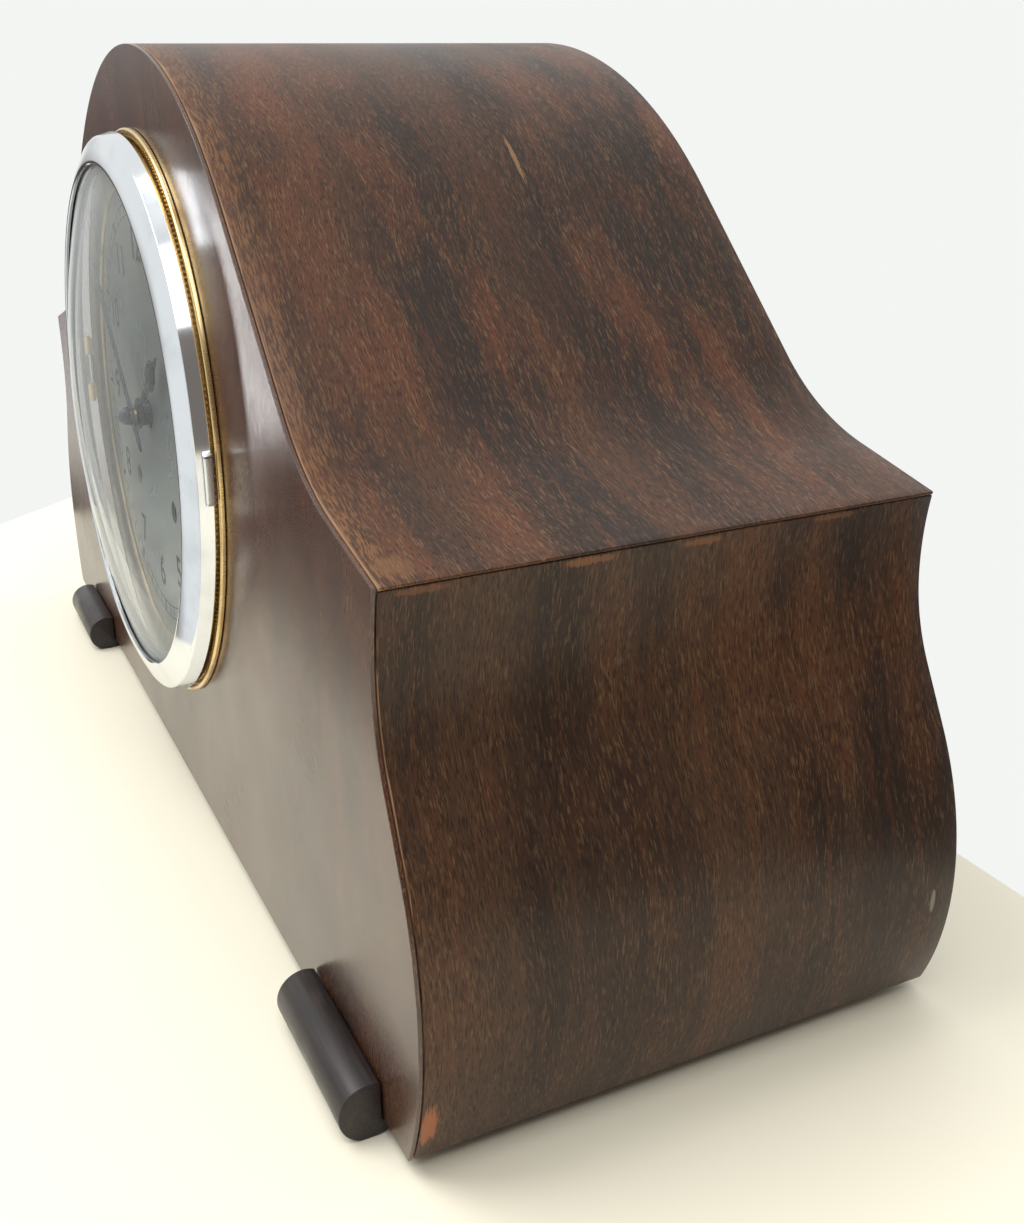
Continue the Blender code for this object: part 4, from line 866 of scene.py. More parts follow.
@dataclass(frozen=True)
class CaseProfile:
    """The case's outline as seen from the front."""

    height: float = 242.7 * MM
    crown_radius: float = 150.0 * MM
    crown_angle: float = 45.0
    slope: float = 62.1 * MM
    sweep_radius: float = 67.0 * MM
    flare_angle: float = 13.2
    shoulder: float = 209.2 * MM
    upper_waist: Point = (80.0 * MM, 16.0)
    lower_waist: Point = (52.0 * MM, 25.0)
    belly_straight: float = 15.6 * MM
    belly_radius: float = 80.0 * MM
    base_radius: float = 82.8 * MM
    top_thickness: float = 4.0 * MM
    side_thickness: float = 9.0 * MM
    step: float = 1.0

    def walk(self, start: Point, heading: float, moves: Sequence[Point]) -> list[Point]:
        """Walk straight runs and arcs.

        Args:
            start: the first point.
            heading: the first direction, in degrees.
            moves: a length with a turn of 0, or a radius with a turn to the left in degrees.

        Returns:
            The points of the line.
        """
        points = [start]
        x, z = start
        for size, turn in moves:
            pieces = max(1, round(abs(turn) / self.step)) if turn else 12
            chord = 2 * size * math.sin(math.radians(abs(turn) / pieces / 2)) if turn else size / pieces
            for _ in range(pieces):
                heading += turn / pieces / 2
                x += chord * math.cos(math.radians(heading))
                z += chord * math.sin(math.radians(heading))
                heading += turn / pieces / 2
                points.append((x, z))
        return points

    def top_line(self) -> list[Point]:
        """Return the right half of the top, from the apex out to the shoulder."""
        line = self.walk((0.0, self.height), 0.0, [
            (self.crown_radius, -self.crown_angle), (self.slope, 0.0),
            (self.sweep_radius, self.crown_angle - self.flare_angle)])
        flare = (self.shoulder - line[-1][0]) / math.cos(math.radians(self.flare_angle))
        return line + self.walk(line[-1], -self.flare_angle, [(flare, 0.0)])[1:]

    def side_line(self) -> list[Point]:
        """Return the right side, from the shoulder down to the underside."""
        line = self.walk(self.top_line()[-1], -90.0 - self.upper_waist[1], [
            self.upper_waist, self.lower_waist, (self.belly_straight, 0.0),
            (self.belly_radius, -self.lower_waist[1])])
        turn = math.degrees(math.asin(line[-1][1] / self.base_radius))
        return line[:-1] + self.walk(line[-1], -90.0, [(self.base_radius, -turn)])

    def inset(self, points: Sequence[Point], distance: float) -> list[Point]:
        """Return an open line moved to its right-hand side by a distance."""
        moved = []
        for i, (x, z) in enumerate(points):
            before, after = points[max(i - 1, 0)], points[min(i + 1, len(points) - 1)]
            along = (after[0] - before[0], after[1] - before[1])
            length = math.hypot(*along)
            moved.append((x + along[1] / length * distance, z - along[0] / length * distance))
        return moved

    def cut_below_top(self, points: Sequence[Point], drop: float) -> list[Point]:
        """Return a downward line, cut where it comes out from under the top panel's flare."""
        shoulder_x, shoulder_z = self.top_line()[-1]
        lean = math.radians(self.flare_angle)
        heights = [z - shoulder_z - (shoulder_x - x) * math.tan(lean) + drop / math.cos(lean)
                   for x, z in points]
        for i, (over, under) in enumerate(zip(heights, heights[1:])):
            if over >= 0.0 > under:
                share = over / (over - under)
                start = tuple(a + (b - a) * share for a, b in zip(points[i], points[i + 1]))
                return [start] + list(points[i + 1:])
        return list(points)

    def side_at(self, shift: float, drop: float) -> list[Point]:
        """Return the side's line moved inwards by a shift and cut below the top panel."""
        return self.cut_below_top([(x - shift, z) for x, z in self.side_line()], drop)

    def whole(self) -> list[Point]:
        """Return the whole outline."""
        right = self.top_line() + self.side_line()[1:]
        return right + mirrored(right[1:])

    def core(self, gap: float) -> list[Point]:
        """Return the outline inside the top and side panels, less a gap all round."""
        drop = self.top_thickness + gap
        side = self.side_at(self.side_thickness + gap, drop)
        under = [(x, z) for x, z in self.inset(self.top_line(), drop) if x < side[0][0]]
        right = under + side
        return right + mirrored(right[1:])


@dataclass
class Case:
    """Front board, veneered top and sides, back board and feet."""

    profile: CaseProfile = field(default_factory=CaseProfile)
    lip: float = 1.0 * MM
    front_thickness: float = 10.0 * MM
    back_thickness: float = 8.0 * MM
    hole_radius: float = 66.0 * MM
    foot_radius: float = 7.2 * MM
    foot_centre: Point = (-3.4 * MM, 2.9 * MM)
    shoulder_facing: float = 0.9 * MM
    shoulder_joint: float = 0.1 * MM
    panel_ease: float = 0.35 * MM
    rows: int = 20

    def bent_panel(self, outer: Sequence[Point], inner: Sequence[Point]) -> bmesh.types.BMesh:
        """Return a panel between two lines, from behind the front facing to the back.

        Args:
            outer: the visible line, in order.
            inner: the hidden line, with as many points.

        Returns:
            The panel, with a map of its grain: the way along the line and the way back.
        """
        bm = bmesh.new()
        grain = bm.loops.layers.uv.new(Lie.GRAIN_MAP.value)
        start, end = self.lip + GAP, FRAME.depth
        ways = [0.0]
        for before, after in zip(outer, outer[1:]):
            ways.append(ways[-1] + math.dist(before, after))
        middle = ways[-1] / 2 if abs(outer[0][0] + outer[-1][0]) < MM else 0.0
        depths = [start + (end - start) * k / self.rows for k in range(self.rows + 1)]
        layers = [[[bm.verts.new((x, y, z)) for x, z in line] for y in depths] for line in (outer, inner)]

        def face(corners: Sequence[tuple[bmesh.types.BMVert, Point]]) -> None:
            """Add one face whose corners carry their own places on the grain map."""
            made = bm.faces.new([vert for vert, _ in corners])
            for loop, (_, spot) in zip(made.loops, corners):
                loop[grain].uv = spot

        last = len(outer) - 1
        for k in range(self.rows):
            for i in range(last):
                for layer in layers:
                    face([(layer[row][at], (ways[at] - middle, depths[row]))
                          for row, at in ((k, i), (k, i + 1), (k + 1, i + 1), (k + 1, i))])
            for at in (0, last):
                thick = self.profile.top_thickness
                face([(layers[which][row][at], (ways[at] - middle + thick * which, depths[row]))
                      for which, row in ((0, k), (0, k + 1), (1, k + 1), (1, k))])
        for row, shift in ((0, -4.0 * MM), (self.rows, 4.0 * MM)):
            for i in range(last):
                face([(layers[which][row][at], (ways[at] - middle, depths[row] + shift * which))
                      for which, at in ((0, i), (0, i + 1), (1, i + 1), (1, i))])
        bmesh.ops.recalc_face_normals(bm, faces=bm.faces[:])
        return bm

    def build_panels(self) -> None:
        """Build the veneered top and the two sides."""
        shape = self.profile
        right = shape.top_line()
        seat = shape.side_at(shape.side_thickness + GAP, shape.top_thickness)[0][0]
        inside = [thick if thick[0] < seat else thin for thick, thin in zip(
            shape.inset(right, shape.top_thickness), shape.inset(right, self.shoulder_facing))]
        outer = mirrored(right) + right[1:]
        inner = mirrored(inside) + inside[1:]
        Piece("top_panel", "case", FINISH.top, ("top_arch",), ease=self.panel_ease).make(
            self.bent_panel(outer, inner))
        drop = self.shoulder_facing + self.shoulder_joint
        outer = shape.side_at(0.0, drop)
        inner = shape.side_at(shape.side_thickness, drop)
        count = min(len(outer), len(inner))
        outer = outer[:1] + outer[-(count - 1):]
        inner = inner[:1] + inner[-(count - 1):]
        for name, sign in (("right", 1.0), ("left", -1.0)):
            lines = [[(sign * x, z) for x, z in line] for line in (outer, inner)]
            Piece(f"side_panel_veneered_{name}", "case", FINISH.side, (f"side_panel_{name}",),
                  ease=self.panel_ease).make(self.bent_panel(*lines))

    def build_front(self) -> None:
        """Build the polished front board: a thin facing with a rounded edge on a thick core."""
        hole = circle(self.hole_radius, 96, (0.0, FRAME.dial_z))
        bm = prism(self.profile.whole(), 0.0, self.lip, [hole])
        prism(self.profile.core(GAP), self.lip, self.front_thickness, [hole], bm)
        Piece("front_board_polished", "case", FINISH.front, ("front_board",), ease=0.45 * MM,
              ease_segments=3, smooth_angle=12.0).make(bm)

    def foot_outline(self) -> list[Point]:
        """Return a front foot's section in Y and Z: a round bar with a notch and a flat sole."""
        (y, z), radius = self.foot_centre, self.foot_radius
        floor = -FRAME.origin.z
        top = math.acos((-GAP - y) / radius)
        sole = math.asin((floor - z) / radius)
        heel = math.asin((-GAP - z) / radius)
        first = [top + (math.pi - sole - top) * i / 40 for i in range(41)]
        second = [sole + (heel - sole) * i / 12 for i in range(13)]
        arcs = [(y + radius * math.cos(a), z + radius * math.sin(a)) for a in first + second]
        return arcs + [(-GAP, -GAP)]

    def build_feet(self) -> None:
        """Build the two front bars where the frame has them."""
        for side in ("left", "right"):
            low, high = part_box(f"foot_front_{side}")
            bm = prism([(y, z) for y, z in self.foot_outline()], 0.0, high.x - low.x)
            lengthwise = Matrix(((0, 1, 0, low.x), (1, 0, 0, 0), (0, 0, 1, 0), (0, 0, 0, 1)))
            bmesh.ops.transform(bm, matrix=lengthwise, verts=bm.verts[:])
            bmesh.ops.recalc_face_normals(bm, faces=bm.faces[:])
            Piece(f"front_foot_bar_{side}", "case", FINISH.foot, (f"foot_front_{side}",), ease=0.5 * MM,
                  ease_segments=3).make(bm)

    def build_back(self) -> None:
        """Build the back board with its door opening."""
        opening = BackDoor().outline(GAP)
        bm = prism(self.profile.core(GAP), FRAME.depth - self.back_thickness, FRAME.depth, [opening])
        Piece("back_board_veneered", "case", FINISH.back, ("back_board",), ease=0.3 * MM).make(bm)

    def build(self) -> None:
        """Build the whole case."""
        self.build_panels()
        self.build_front()
        self.build_back()
        self.build_feet()


@dataclass
class BackDoor:
    """The round-topped door in the back, its hinges and its catch."""

    half_width: float = 80.0 * MM
    low: float = 28.0 * MM
    spring_line: float = 120.0 * MM
    thickness: float = 6.0 * MM
    catch: Point = (70.0 * MM, 84.0 * MM)
    catch_radius: float = 2.09 * MM
    leaf_face: float = 1.1 * MM
    screw_inset: float = 5.0 * MM
    screw_shares: tuple[float, ...] = (0.18, 0.5, 0.82)
    screw_radius: float = 1.7 * MM
    screw_height: float = 0.7 * MM
    screw_slot: float = 0.5 * MM

    def outline(self, grow: float) -> list[Point]:
        """Return the door's outline, grown by a distance."""
        half = self.half_width - GAP + grow
        arch = [(half * math.cos(math.radians(a)), self.spring_line + half * math.sin(math.radians(a)))
                for a in range(0, 181, 3)]
        return [(-half, self.low - grow), (half, self.low - grow), *arch]

    def build(self, screws: SlottedScrews) -> None:
        """Build the door and the screws of its hinge leaves."""
        hole = circle(self.catch_radius, 24, self.catch)
        bm = prism(self.outline(-GAP), FRAME.depth - self.thickness, FRAME.depth, [hole])
        Piece("back_door_veneered", "back_door", FINISH.back, ("back_door",), ease=0.3 * MM).make(bm)
        for leaf, body in (("case_leaf", "case"), ("door_leaf", "back_door")):
            places = []
            for level in ("upper", "lower"):
                low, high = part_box(f"door_hinge_{level}_{leaf}")
                low, high = low - FRAME.origin, high - FRAME.origin
                inset = self.screw_inset
                across = low.x + inset if leaf == "case_leaf" else high.x - inset
                for share in self.screw_shares:
                    level_z = low.z + (high.z - low.z) * share
                    places.append(Vector((across, FRAME.depth + self.leaf_face, level_z)))
            screws.grow(Piece(f"door_hinge_screws_{body}", body, FINISH.brass), {
                "Head Radius": self.screw_radius, "Head Height": self.screw_height,
                "Slot Width": self.screw_slot, "Face": 1.0}, places)


# ---------------------------------------------------------------- dial

@dataclass
class Dial:
    """Brass ring with its bead, sight ring and the printed dial."""

    ring_radius: float = 91.96 * MM
    ring_front: float = -1.8 * MM
    wall: Point = (87.4 * MM, 88.4 * MM)
    wall_front: float = -4.2 * MM
    plate_radius: float = 84.0 * MM
    face: float = -1.3 * MM
    sight: Point = (86.9 * MM, 75.8 * MM)
    numeral_radius: float = 55.0 * MM
    numeral_height: float = 15.0 * MM
    track: Point = (65.0 * MM, 69.0 * MM)
    print_depth: float = 0.06 * MM
    plate_play: float = 0.5 * MM
    bead: Point = (0.85 * MM, 0.8 * MM)
    knurl: tuple[float, float, float] = (1.0 * MM, 0.85 * MM, 0.85 * MM)
    knurls: int = 300
    minute_tick: Point = (3.4 * MM, 0.35 * MM)
    hour_baton: Point = (4.6 * MM, 1.3 * MM)
    track_half: float = 0.18 * MM
    sides: int = 160

    @property
    def centre(self) -> Point:
        """Return the dial's axis in X and Z."""
        return (0.0, FRAME.dial_z)

    @property
    def print_middle(self) -> float:
        """Return the Y of the middle of the print, which stands just clear of the plate."""
        return self.face - self.print_depth / 2 - 0.01 * MM

    def build_rings(self, bars: RingOfBars) -> None:
        """Build the brass ring with its two beads and the knurling, and the sloping sight ring."""
        outer, front = self.ring_radius, self.ring_front
        wall_in, wall_out = self.wall
        inner = self.plate_radius + self.plate_play
        wide, high = self.bead
        bead = [(outer - wide + wide * math.cos(a), front + high - high * math.sin(a))
                for a in [math.pi * i / 8 for i in range(9)]]
        groove = [(outer - 1.75 * MM, front + 1.25 * MM), (outer - 2.1 * MM, front + 1.25 * MM),
                  (outer - 2.3 * MM, front + 0.55 * MM)]
        ring = [(inner, -GAP), (outer, -GAP), *bead, *groove, (wall_out, front + 0.55 * MM),
                (wall_out, self.wall_front + 0.2 * MM), (wall_out - 0.2 * MM, self.wall_front),
                (wall_in + 0.2 * MM, self.wall_front), (wall_in, self.wall_front + 0.2 * MM),
                (wall_in, front + 0.4 * MM), (inner, front + 0.4 * MM)]
        Piece("dial_ring_beaded", "case", FINISH.dial_brass, ("dial_ring",)).make(
            turned(ring, self.sides, self.centre))
        middle = Vector((0.0, front + 0.35 * MM, FRAME.dial_z)) + FRAME.origin
        bars.grow(Piece("dial_ring_knurling", "case", FINISH.dial_brass, smooth_angle=20.0), {
            "Count": self.knurls, "Radius": wall_out + 0.55 * MM, "Bar": self.knurl,
            "Centre": middle, "Turn": math.pi / 4})
        sight_out, sight_in = self.sight
        near, far = self.wall_front + GAP, self.face - GAP
        sight = [(sight_out, near), (sight_out, near + 0.7 * MM), (sight_in + 1.2 * MM, far),
                 (sight_in, far), (sight_in, far - 0.6 * MM), (sight_in + 0.5 * MM, far - 0.95 * MM)]
        # The sight ring wears the darker brass copy, which carries painted shade and a painted reflection
        # of the wood.
        Piece("sight_ring_turned", "case", FINISH.sight_brass, ("sight_ring",)).make(
            turned(sight, self.sides, self.centre))

    def build_print(self, bars: RingOfBars) -> None:
        """Lay the minute track, the hour batons and the numerals on the plate."""
        face = Vector((0.0, self.print_middle, FRAME.dial_z)) + FRAME.origin
        middle = sum(self.track) / 2
        ink = FINISH.print
        for name, count, bar in (("minute_ticks", 60, (*self.minute_tick, self.print_depth)),
                                 ("hour_batons", 12, (*self.hour_baton, self.print_depth))):
            bars.grow(Piece(name, "case", ink), {
                "Count": count, "Radius": middle, "Bar": bar, "Centre": face})
        for i, radius in enumerate(self.track, start=1):
            near = self.face - self.print_depth
            inside, outside = radius - self.track_half, radius + self.track_half
            line = [(inside, self.face), (outside, self.face), (outside, near), (inside, near)]
            Piece(f"track_line_{i}", "case", ink).make(turned(line, self.sides, self.centre))
        self.build_numerals()

    def build_numerals(self) -> None:
        """Make the twelve numerals as thin raised print, upright all round."""
        bm = bmesh.new()
        for hour in range(1, 13):
            text = bpy.data.curves.new("numeral", "FONT")
            text.body = str(hour)
            text.align_x = "CENTER"
            text.align_y = "CENTER"
            text.size = self.numeral_height
            text.extrude = self.print_depth / 2
            text.offset = 0.12 * MM
            shown = bpy.data.objects.new("numeral", text)
            bpy.context.collection.objects.link(shown)
            graph = bpy.context.evaluated_depsgraph_get()
            mesh = bpy.data.meshes.new_from_object(shown.evaluated_get(graph))
            angle = math.radians(hour * 30)
            spot = Vector((self.numeral_radius * math.sin(angle), self.print_middle,
                           FRAME.dial_z + self.numeral_radius * math.cos(angle)))
            mesh.transform(Matrix.Translation(spot) @ Matrix.Rotation(QUARTER_TURN, 4, "X"))
            bm.from_mesh(mesh)
            bpy.data.objects.remove(shown)
            bpy.data.meshes.remove(mesh)
        bmesh.ops.remove_doubles(bm, verts=bm.verts[:], dist=0.001 * MM)
        Piece("hour_numerals", "case", FINISH.print).make(bm)

    def build(self, bars: RingOfBars) -> None:
        """Build the rings and the print."""
        self.build_rings(bars)
        self.build_print(bars)


@dataclass
class Bezel:
    """Chrome ring, domed glass, retaining ring and thumb tab."""

    base: Point = (90.9 * MM, -7.1 * MM)
    crease: Point = (89.8 * MM, -11.0 * MM)
    lip: Point = (81.9 * MM, -14.4 * MM)
    glass_sphere: float = 304.5 * MM
    glass_front: float = -23.6 * MM
    glass_thickness: float = 2.2 * MM
    glass_radius: float = 83.6 * MM
    retainer: Point = (79.5 * MM, 88.9 * MM)
    retainer_back: float = -8.8 * MM
    retainer_thickness: float = 0.6 * MM
    tab_x: Point = (91.25 * MM, 93.85 * MM)
    tab_y: Point = (-10.0 * MM, -7.3 * MM)
    tab_half: float = 7.5 * MM
    tilt: float = 1.34
    sides: int = 192

    def swing(self, origin: Vector) -> Matrix:
        """Return the turn about the hinge pin to where the closed bezel rests, for a frame's origin."""
        low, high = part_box("bezel_hinge_pin")
        pin = (low + high) / 2 - origin
        turn = Matrix.Rotation(math.radians(self.tilt), 4, "Z")
        return Matrix.Translation(pin) @ turn @ Matrix.Translation(-pin)

    def tilted(self, bm: bmesh.types.BMesh) -> bmesh.types.BMesh:
        """Return a bmesh in the case frame, swung to where the closed bezel rests."""
        bmesh.ops.transform(bm, matrix=self.swing(FRAME.origin), verts=bm.verts[:])
        return bm

    def build(self, shell: DomeShell) -> None:
        """Build the bezel's turned pieces, its domed glass and its tab."""
        centre = (0.0, FRAME.dial_z)
        (base_r, base_y), (crease_r, crease_y), (lip_r, lip_y) = self.base, self.crease, self.lip
        ring = [(base_r - 0.1 * MM, base_y + 0.02 * MM), (base_r, base_y - 0.15 * MM),
                (crease_r + 0.10 * MM, crease_y + 0.4 * MM), (crease_r, crease_y),
                (crease_r - 0.35 * MM, crease_y - 0.38 * MM), (crease_r - 0.95 * MM, crease_y - 0.62 * MM),
                (crease_r - 4.0 * MM, crease_y - 2.05 * MM), (lip_r + 0.5 * MM, lip_y + 0.1 * MM),
                (lip_r, lip_y), (lip_r - 0.5 * MM, lip_y + 0.08 * MM), (lip_r - 0.8 * MM, lip_y + 0.4 * MM),
                (lip_r - 0.8 * MM, lip_y + 1.2 * MM), (lip_r, lip_y + 1.3 * MM),
                (crease_r - 1.1 * MM, crease_y + 0.6 * MM), (base_r - 0.9 * MM, base_y)]
        Piece("bezel_ring_plated", "bezel", FINISH.chrome, ("bezel_ring",), smooth_angle=28.0).make(
            self.tilted(turned(ring, self.sides, centre)))
        shell.grow(Piece("bezel_glass_dome", "bezel", FINISH.glass, ("bezel_glass",)), {
            "Radius": self.glass_radius, "Sphere": self.glass_sphere, "Front": self.glass_front,
            "Thickness": self.glass_thickness, "Centre": Vector((0.0, 0.0, FRAME.dial_z)) + FRAME.origin},
            swing=self.swing(Vector()))
        far = self.retainer_back
        near = far - self.retainer_thickness
        section = [(self.retainer[0], far), (self.retainer[1], far), (self.retainer[1], near),
                   (self.retainer[0] + 0.3 * MM, near), (self.retainer[0], near + 0.2 * MM)]
        Piece("glass_retainer_ring", "bezel", FINISH.black, ("glass_retainer",)).make(
            self.tilted(turned(section, self.sides, centre)))
        self.build_tab()

    def build_tab(self) -> None:
        """Build the thumb tab: a bar with round ends and softened edges."""
        radius = (self.tab_x[1] - self.tab_x[0]) / 2
        arc = [math.pi * i / 12 for i in range(13)]
        middle = sum(self.tab_x) / 2
        reach = self.tab_half - radius
        ends = [(middle + radius * math.cos(a), FRAME.dial_z + reach + radius * math.sin(a)) for a in arc]
        ends += [(middle - radius * math.cos(a), FRAME.dial_z - reach - radius * math.sin(a)) for a in arc]
        Piece("bezel_thumb_tab", "bezel", FINISH.chrome, ("bezel_tab",), ease=0.45 * MM,
              ease_segments=3).make(self.tilted(prism(ends, *self.tab_y)))


@dataclass
class Hands:
    """Blued steel hands and the domed nut; hub is the hour hand's round end, in millimetres."""

    hour: int = 1
    minute: int = 52
    hub: float = 4.9
    ease: float = 0.22 * MM
    pipe_radius: float = 3.39 * MM
    spindle_radius: float = 1.79 * MM

    @staticmethod
    def turn(points: Sequence[Point], angle: float) -> list[Point]:
        """Turn points clockwise about the dial's axis as seen from the front."""
        cos, sin = math.cos(angle), math.sin(angle)
        return [(x * cos + z * sin, FRAME.dial_z - x * sin + z * cos) for x, z in points]

    @staticmethod
    def blade(right: Sequence[Point], tip: float, tail: Sequence[Point]) -> list[Point]:
        """Return a hand's outline from its right edge, its tip and its tail, all in millimetres."""
        side = [(x * MM, z * MM) for x, z in right]
        end = [(x * MM, z * MM) for x, z in tail]
        return side + [(0.0, tip * MM)] + mirrored(side) + end

    def build(self) -> None:
        """Build both hands and the nut at the places that the frame gives."""
        centre = (0.0, FRAME.dial_z)
        spade = [(4.2 + 1.1 * math.sin(a), 30.5 - 4.6 * math.cos(a)) for a in (0.35, 0.9, 1.5, 2.1, 2.6)]
        spade = [(x - 0.9, z) for x, z in spade]
        hour_edge = [(self.hub, 2.0), (4.2, 5.0), (2.6, 7.6), (1.5, 10.0), (1.3, 24.0), *spade, (1.3, 37.0)]
        under = [math.pi + math.pi * i / 12 for i in range(1, 12)]
        hub = [(self.hub * math.cos(a), self.hub * math.sin(a)) for a in under]
        hour_angle = math.radians((self.hour + self.minute / 60) * 30)
        low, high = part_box("hour_hand")
        outline = self.turn(self.blade(hour_edge, 45.0, hub), hour_angle)
        y = low.y - FRAME.origin.y
        Piece("hour_hand_blued", "hour", FINISH.blued, ("hour_hand",), ease=self.ease).make(
            prism(outline, y, y + high.y - low.y, [circle(self.pipe_radius, 32, centre)]))
        minute_edge = [(3.3, 1.4), (2.6, 3.6), (1.7, 6.4), (1.3, 30.0), (1.9, 48.0), (2.3, 52.0),
                       (1.2, 57.0), (0.7, 62.0)]
        tail = [(-3.3, -1.4), (-2.2, -3.6), (-1.4, -9.0), (-1.5, -12.0), (0.0, -15.0), (1.5, -12.0),
                (1.4, -9.0), (2.2, -3.6), (3.3, -1.4)]
        low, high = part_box("minute_hand")
        outline = self.turn(self.blade(minute_edge, 69.0, tail), math.radians(self.minute * 6))
        y = low.y - FRAME.origin.y
        Piece("minute_hand_blued", "minute", FINISH.blued, ("minute_hand",), ease=self.ease).make(
            prism(outline, y, y + high.y - low.y, [circle(self.spindle_radius, 24, centre)]))
        low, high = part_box("hand_nut")
        near, far = low.y - FRAME.origin.y, high.y - FRAME.origin.y
        radius = (high.x - low.x) / 2
        dome = [(radius * math.sin(a), near + (far - near) * 0.75 * (1 - math.cos(a)))
                for a in [QUARTER_TURN * i / 8 for i in range(9)]]
        dome[0] = (0.0, near)
        Piece("hand_nut_domed", "minute", FINISH.blued, ("hand_nut",)).make(
            turned([*dome, (radius, far), (0.0, far)], 40, centre))


# ---------------------------------------------------------------- carried-over nodes

@dataclass
class CarriedOver:
    """CAD nodes whose shape stays and whose finish is made here."""

    blued: tuple[str, ...] = ("hour_pipe",)
    dial: tuple[str, ...] = ("dial_plate",)
    wood: tuple[str, ...] = ("base_board", "glue_block_")
    feet: tuple[str, ...] = ("foot_rear_",)
    chrome: tuple[str, ...] = ("bezel_hinge_arm",)
    steel: tuple[str, ...] = ("_pin", "movement_bracket", "winding_arbor", "pallets", "pendulum_rod",
                              "gong_block_and_rods")

    def choose(self, name: str) -> Finish:
        """Return the finish that a node wears."""
        groups = ((self.blued, FINISH.blued), (self.wood, FINISH.carcase), (self.feet, FINISH.foot),
                  (self.chrome, FINISH.chrome), (self.steel, FINISH.steel), (self.dial, FINISH.silvering))
        for words, finish in groups:
            if any(word in name for word in words) and name != "strike_pin_wheel":
                return finish
        return FINISH.brass

    def build(self) -> None:
        """Dress every node that still shows."""
        for name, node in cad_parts.items():
            material = self.choose(name).material()
            for slot in node.material_slots:
                slot.material = material
            if not node.material_slots:
                node.data.materials.append(material)


# ---------------------------------------------------------------- studio

@dataclass(frozen=True)
class Lamp:
    """A rectangular lamp; one with a piece's name lights that piece alone."""

    name: str
    place: tuple[float, float, float]
    aim: tuple[float, float, float]
    size: Point
    power: float
    lean: float = 0.0
    only: str = ""

    def build(self) -> None:
        """Hang the lamp and turn it to its aim."""
        data = bpy.data.lights.new(self.name, "AREA")
        data.shape = "RECTANGLE"
        data.size, data.size_y = self.size
        data.energy = self.power
        light = bpy.data.objects.new(self.name, data)
        light.location = self.place
        facing = (Vector(self.aim) - Vector(self.place)).to_track_quat("-Z", "Y")
        turn = Quaternion((0.0, 0.0, 1.0), math.radians(self.lean))
        light.rotation_euler = (facing @ turn).to_euler()
        bpy.context.collection.objects.link(light)
        if self.only:
            lit = bpy.data.collections.new(f"lit_by_{self.name}")
            lit.objects.link(bpy.data.objects[self.only])
            light.light_linking.receiver_collection = lit


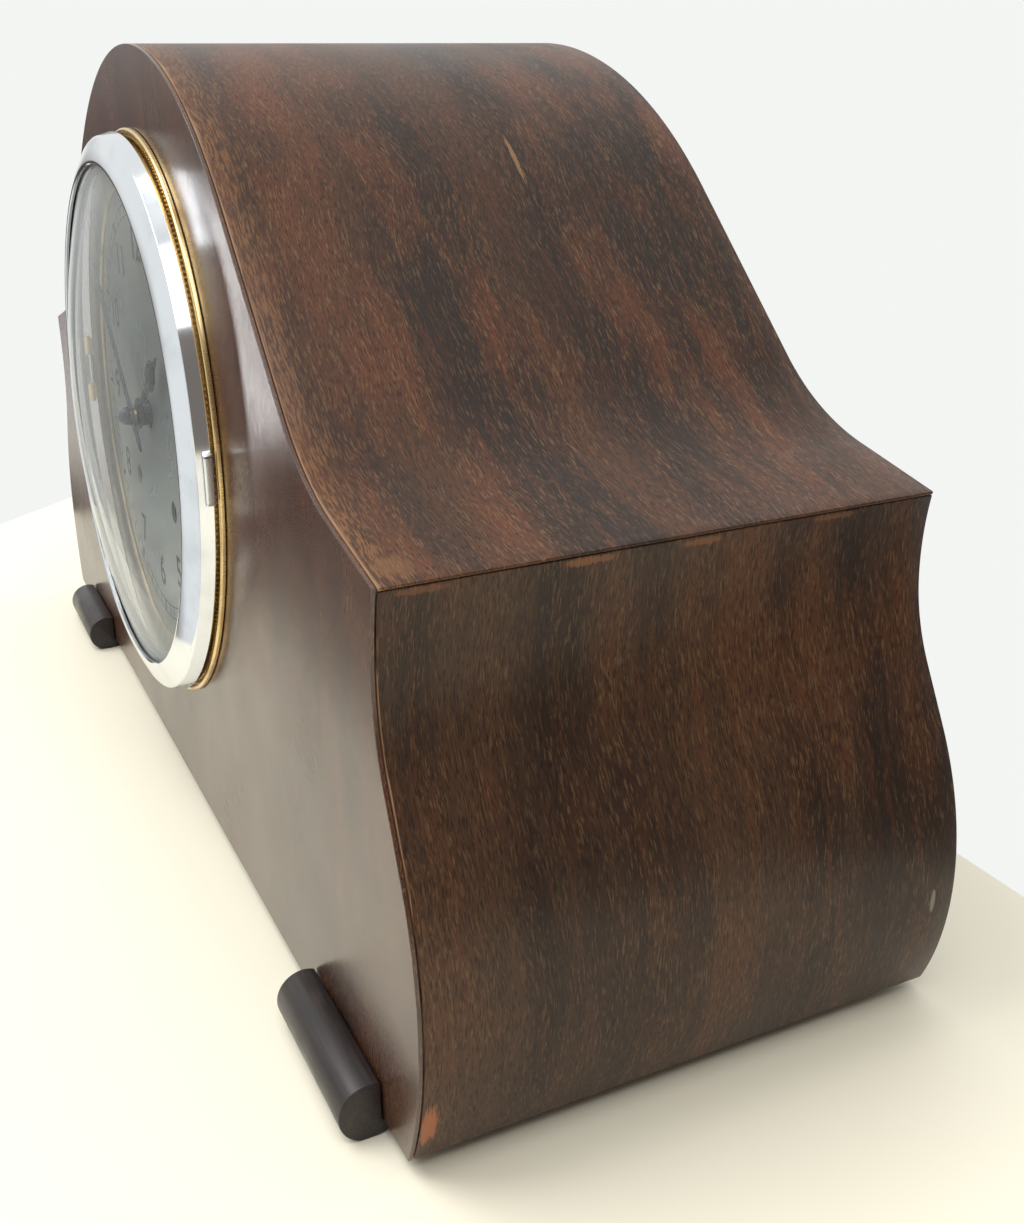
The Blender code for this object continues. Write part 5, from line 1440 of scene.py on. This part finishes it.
@dataclass
class Studio:
    """Pale shelf, soft lamps and the camera."""

    camera_at: tuple[float, float, float] = (0.4558, -0.1510, 0.2285)
    azimuth: float = 64.52
    elevation: float = 14.89
    roll: float = -1.09
    lens: float = 40.81
    shift_y: float = -0.119
    shelf: tuple[Point, ...] = ((1.6, -2.2), (1.6, 0.136), (-0.541, 0.136), (-0.33, -0.11),
                                (-1.1, -0.11), (-1.1, -0.140), (0.08, -0.140), (0.12, -0.160),
                                (0.24, -0.160), (0.24, -2.2))
    pale: Colour = (0.90, 0.915, 0.90)
    dusky: Colour = (0.20, 0.175, 0.155)
    dark: Colour = (0.085, 0.060, 0.058)
    lamps: tuple[Lamp, ...] = (
        Lamp("key", (-0.5, -1.1, 1.9), (0.0, 0.0, 0.1), (1.4, 1.4), 30.0),
        Lamp("fill", (0.9, -0.2, 1.6), (0.0, 0.0, 0.1), (1.0, 1.0), 11.0),
        Lamp("streak", (-2.0, -0.575, -0.16), (0.1, -0.065, 0.16), (0.065, 0.42), 1.0, 9.6,
             "front_board_polished"))

    def build_floor(self) -> None:
        """Lay the pale shelf, which ends behind where the wall would stand and a little in front."""
        bm = bmesh.new()
        bm.faces.new([bm.verts.new((x, y, 0.0)) for x, y in self.shelf])
        bmesh.ops.recalc_face_normals(bm, faces=bm.faces[:])
        if bm.faces[:][0].normal.z < 0.0:
            bmesh.ops.reverse_faces(bm, faces=bm.faces[:])
        mesh = bpy.data.meshes.new("floor")
        bm.to_mesh(mesh)
        bm.free()
        floor = bpy.data.objects.new("floor", mesh)
        bpy.context.collection.objects.link(floor)
        material = bpy.data.materials.new("pale_floor")
        material.use_nodes = True
        shader = material.node_tree.nodes["Principled BSDF"]
        shader.inputs["Base Color"].default_value = (0.95, 0.90, 0.74, 1.0)
        shader.inputs["Roughness"].default_value = 0.5
        mesh.materials.append(material)

    def build_room(self) -> None:
        """Make the pale room, dusky on the right and dark beside the front board's line of sight."""
        world = bpy.data.worlds.new("pale_room")
        bpy.context.scene.world = world
        world.use_nodes = True
        graph = Graph(world.node_tree)
        sky = graph.node("ShaderNodeTexCoord", {}, {}, "Generated")
        across, ahead, up = (graph.axis(sky, which) for which in "XYZ")
        colour = graph.mix(graph.smooth(across, -0.1, 0.75), self.pale, self.dusky)
        beside = graph.smooth(across, -0.62, -0.84) * graph.smooth(ahead, 0.02, -0.12)
        colour = graph.mix(beside * graph.smooth(up, 0.16, -0.05), colour, self.dark)
        graph.feed(world.node_tree.nodes["Background"].inputs["Color"], colour)

    def build_camera(self) -> None:
        """Place the camera at its viewing angle."""
        around, up = math.radians(self.azimuth), math.radians(self.elevation)
        back = Vector((math.sin(around) * math.cos(up), -math.cos(around) * math.cos(up), math.sin(up)))
        right = (-back).cross(Vector((0.0, 0.0, 1.0))).normalized()
        above = right.cross(-back)
        cos, sin = math.cos(math.radians(self.roll)), math.sin(math.radians(self.roll))
        across, upward = cos * right + sin * above, -sin * right + cos * above
        data = bpy.data.cameras.new("camera")
        data.lens = self.lens
        data.shift_y = self.shift_y
        data.clip_start = 0.01
        camera = bpy.data.objects.new("camera", data)
        pose = Matrix((across, upward, back)).transposed().to_4x4()
        camera.matrix_world = Matrix.Translation(self.camera_at) @ pose
        bpy.context.collection.objects.link(camera)
        bpy.context.scene.camera = camera

    def build(self) -> None:
        """Build the shelf, the room, the lamps and the camera."""
        bpy.context.scene.view_settings.view_transform = "Standard"
        self.build_floor()
        self.build_room()
        for lamp in self.lamps:
            lamp.build()
        self.build_camera()


def write_sizes() -> None:
    """Bring the view layer up to date."""
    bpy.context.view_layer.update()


def main() -> None:
    """Build every sub-assembly in order."""
    logging.basicConfig(level=logging.INFO, format="%(message)s")
    bars, screws = RingOfBars(), SlottedScrews()
    CarriedOver().build()
    Case().build()
    BackDoor().build(screws)
    Dial().build(bars)
    Bezel().build(DomeShell())
    Hands().build()
    write_sizes()
    Studio().build()


if __name__ == "__main__":
    main()
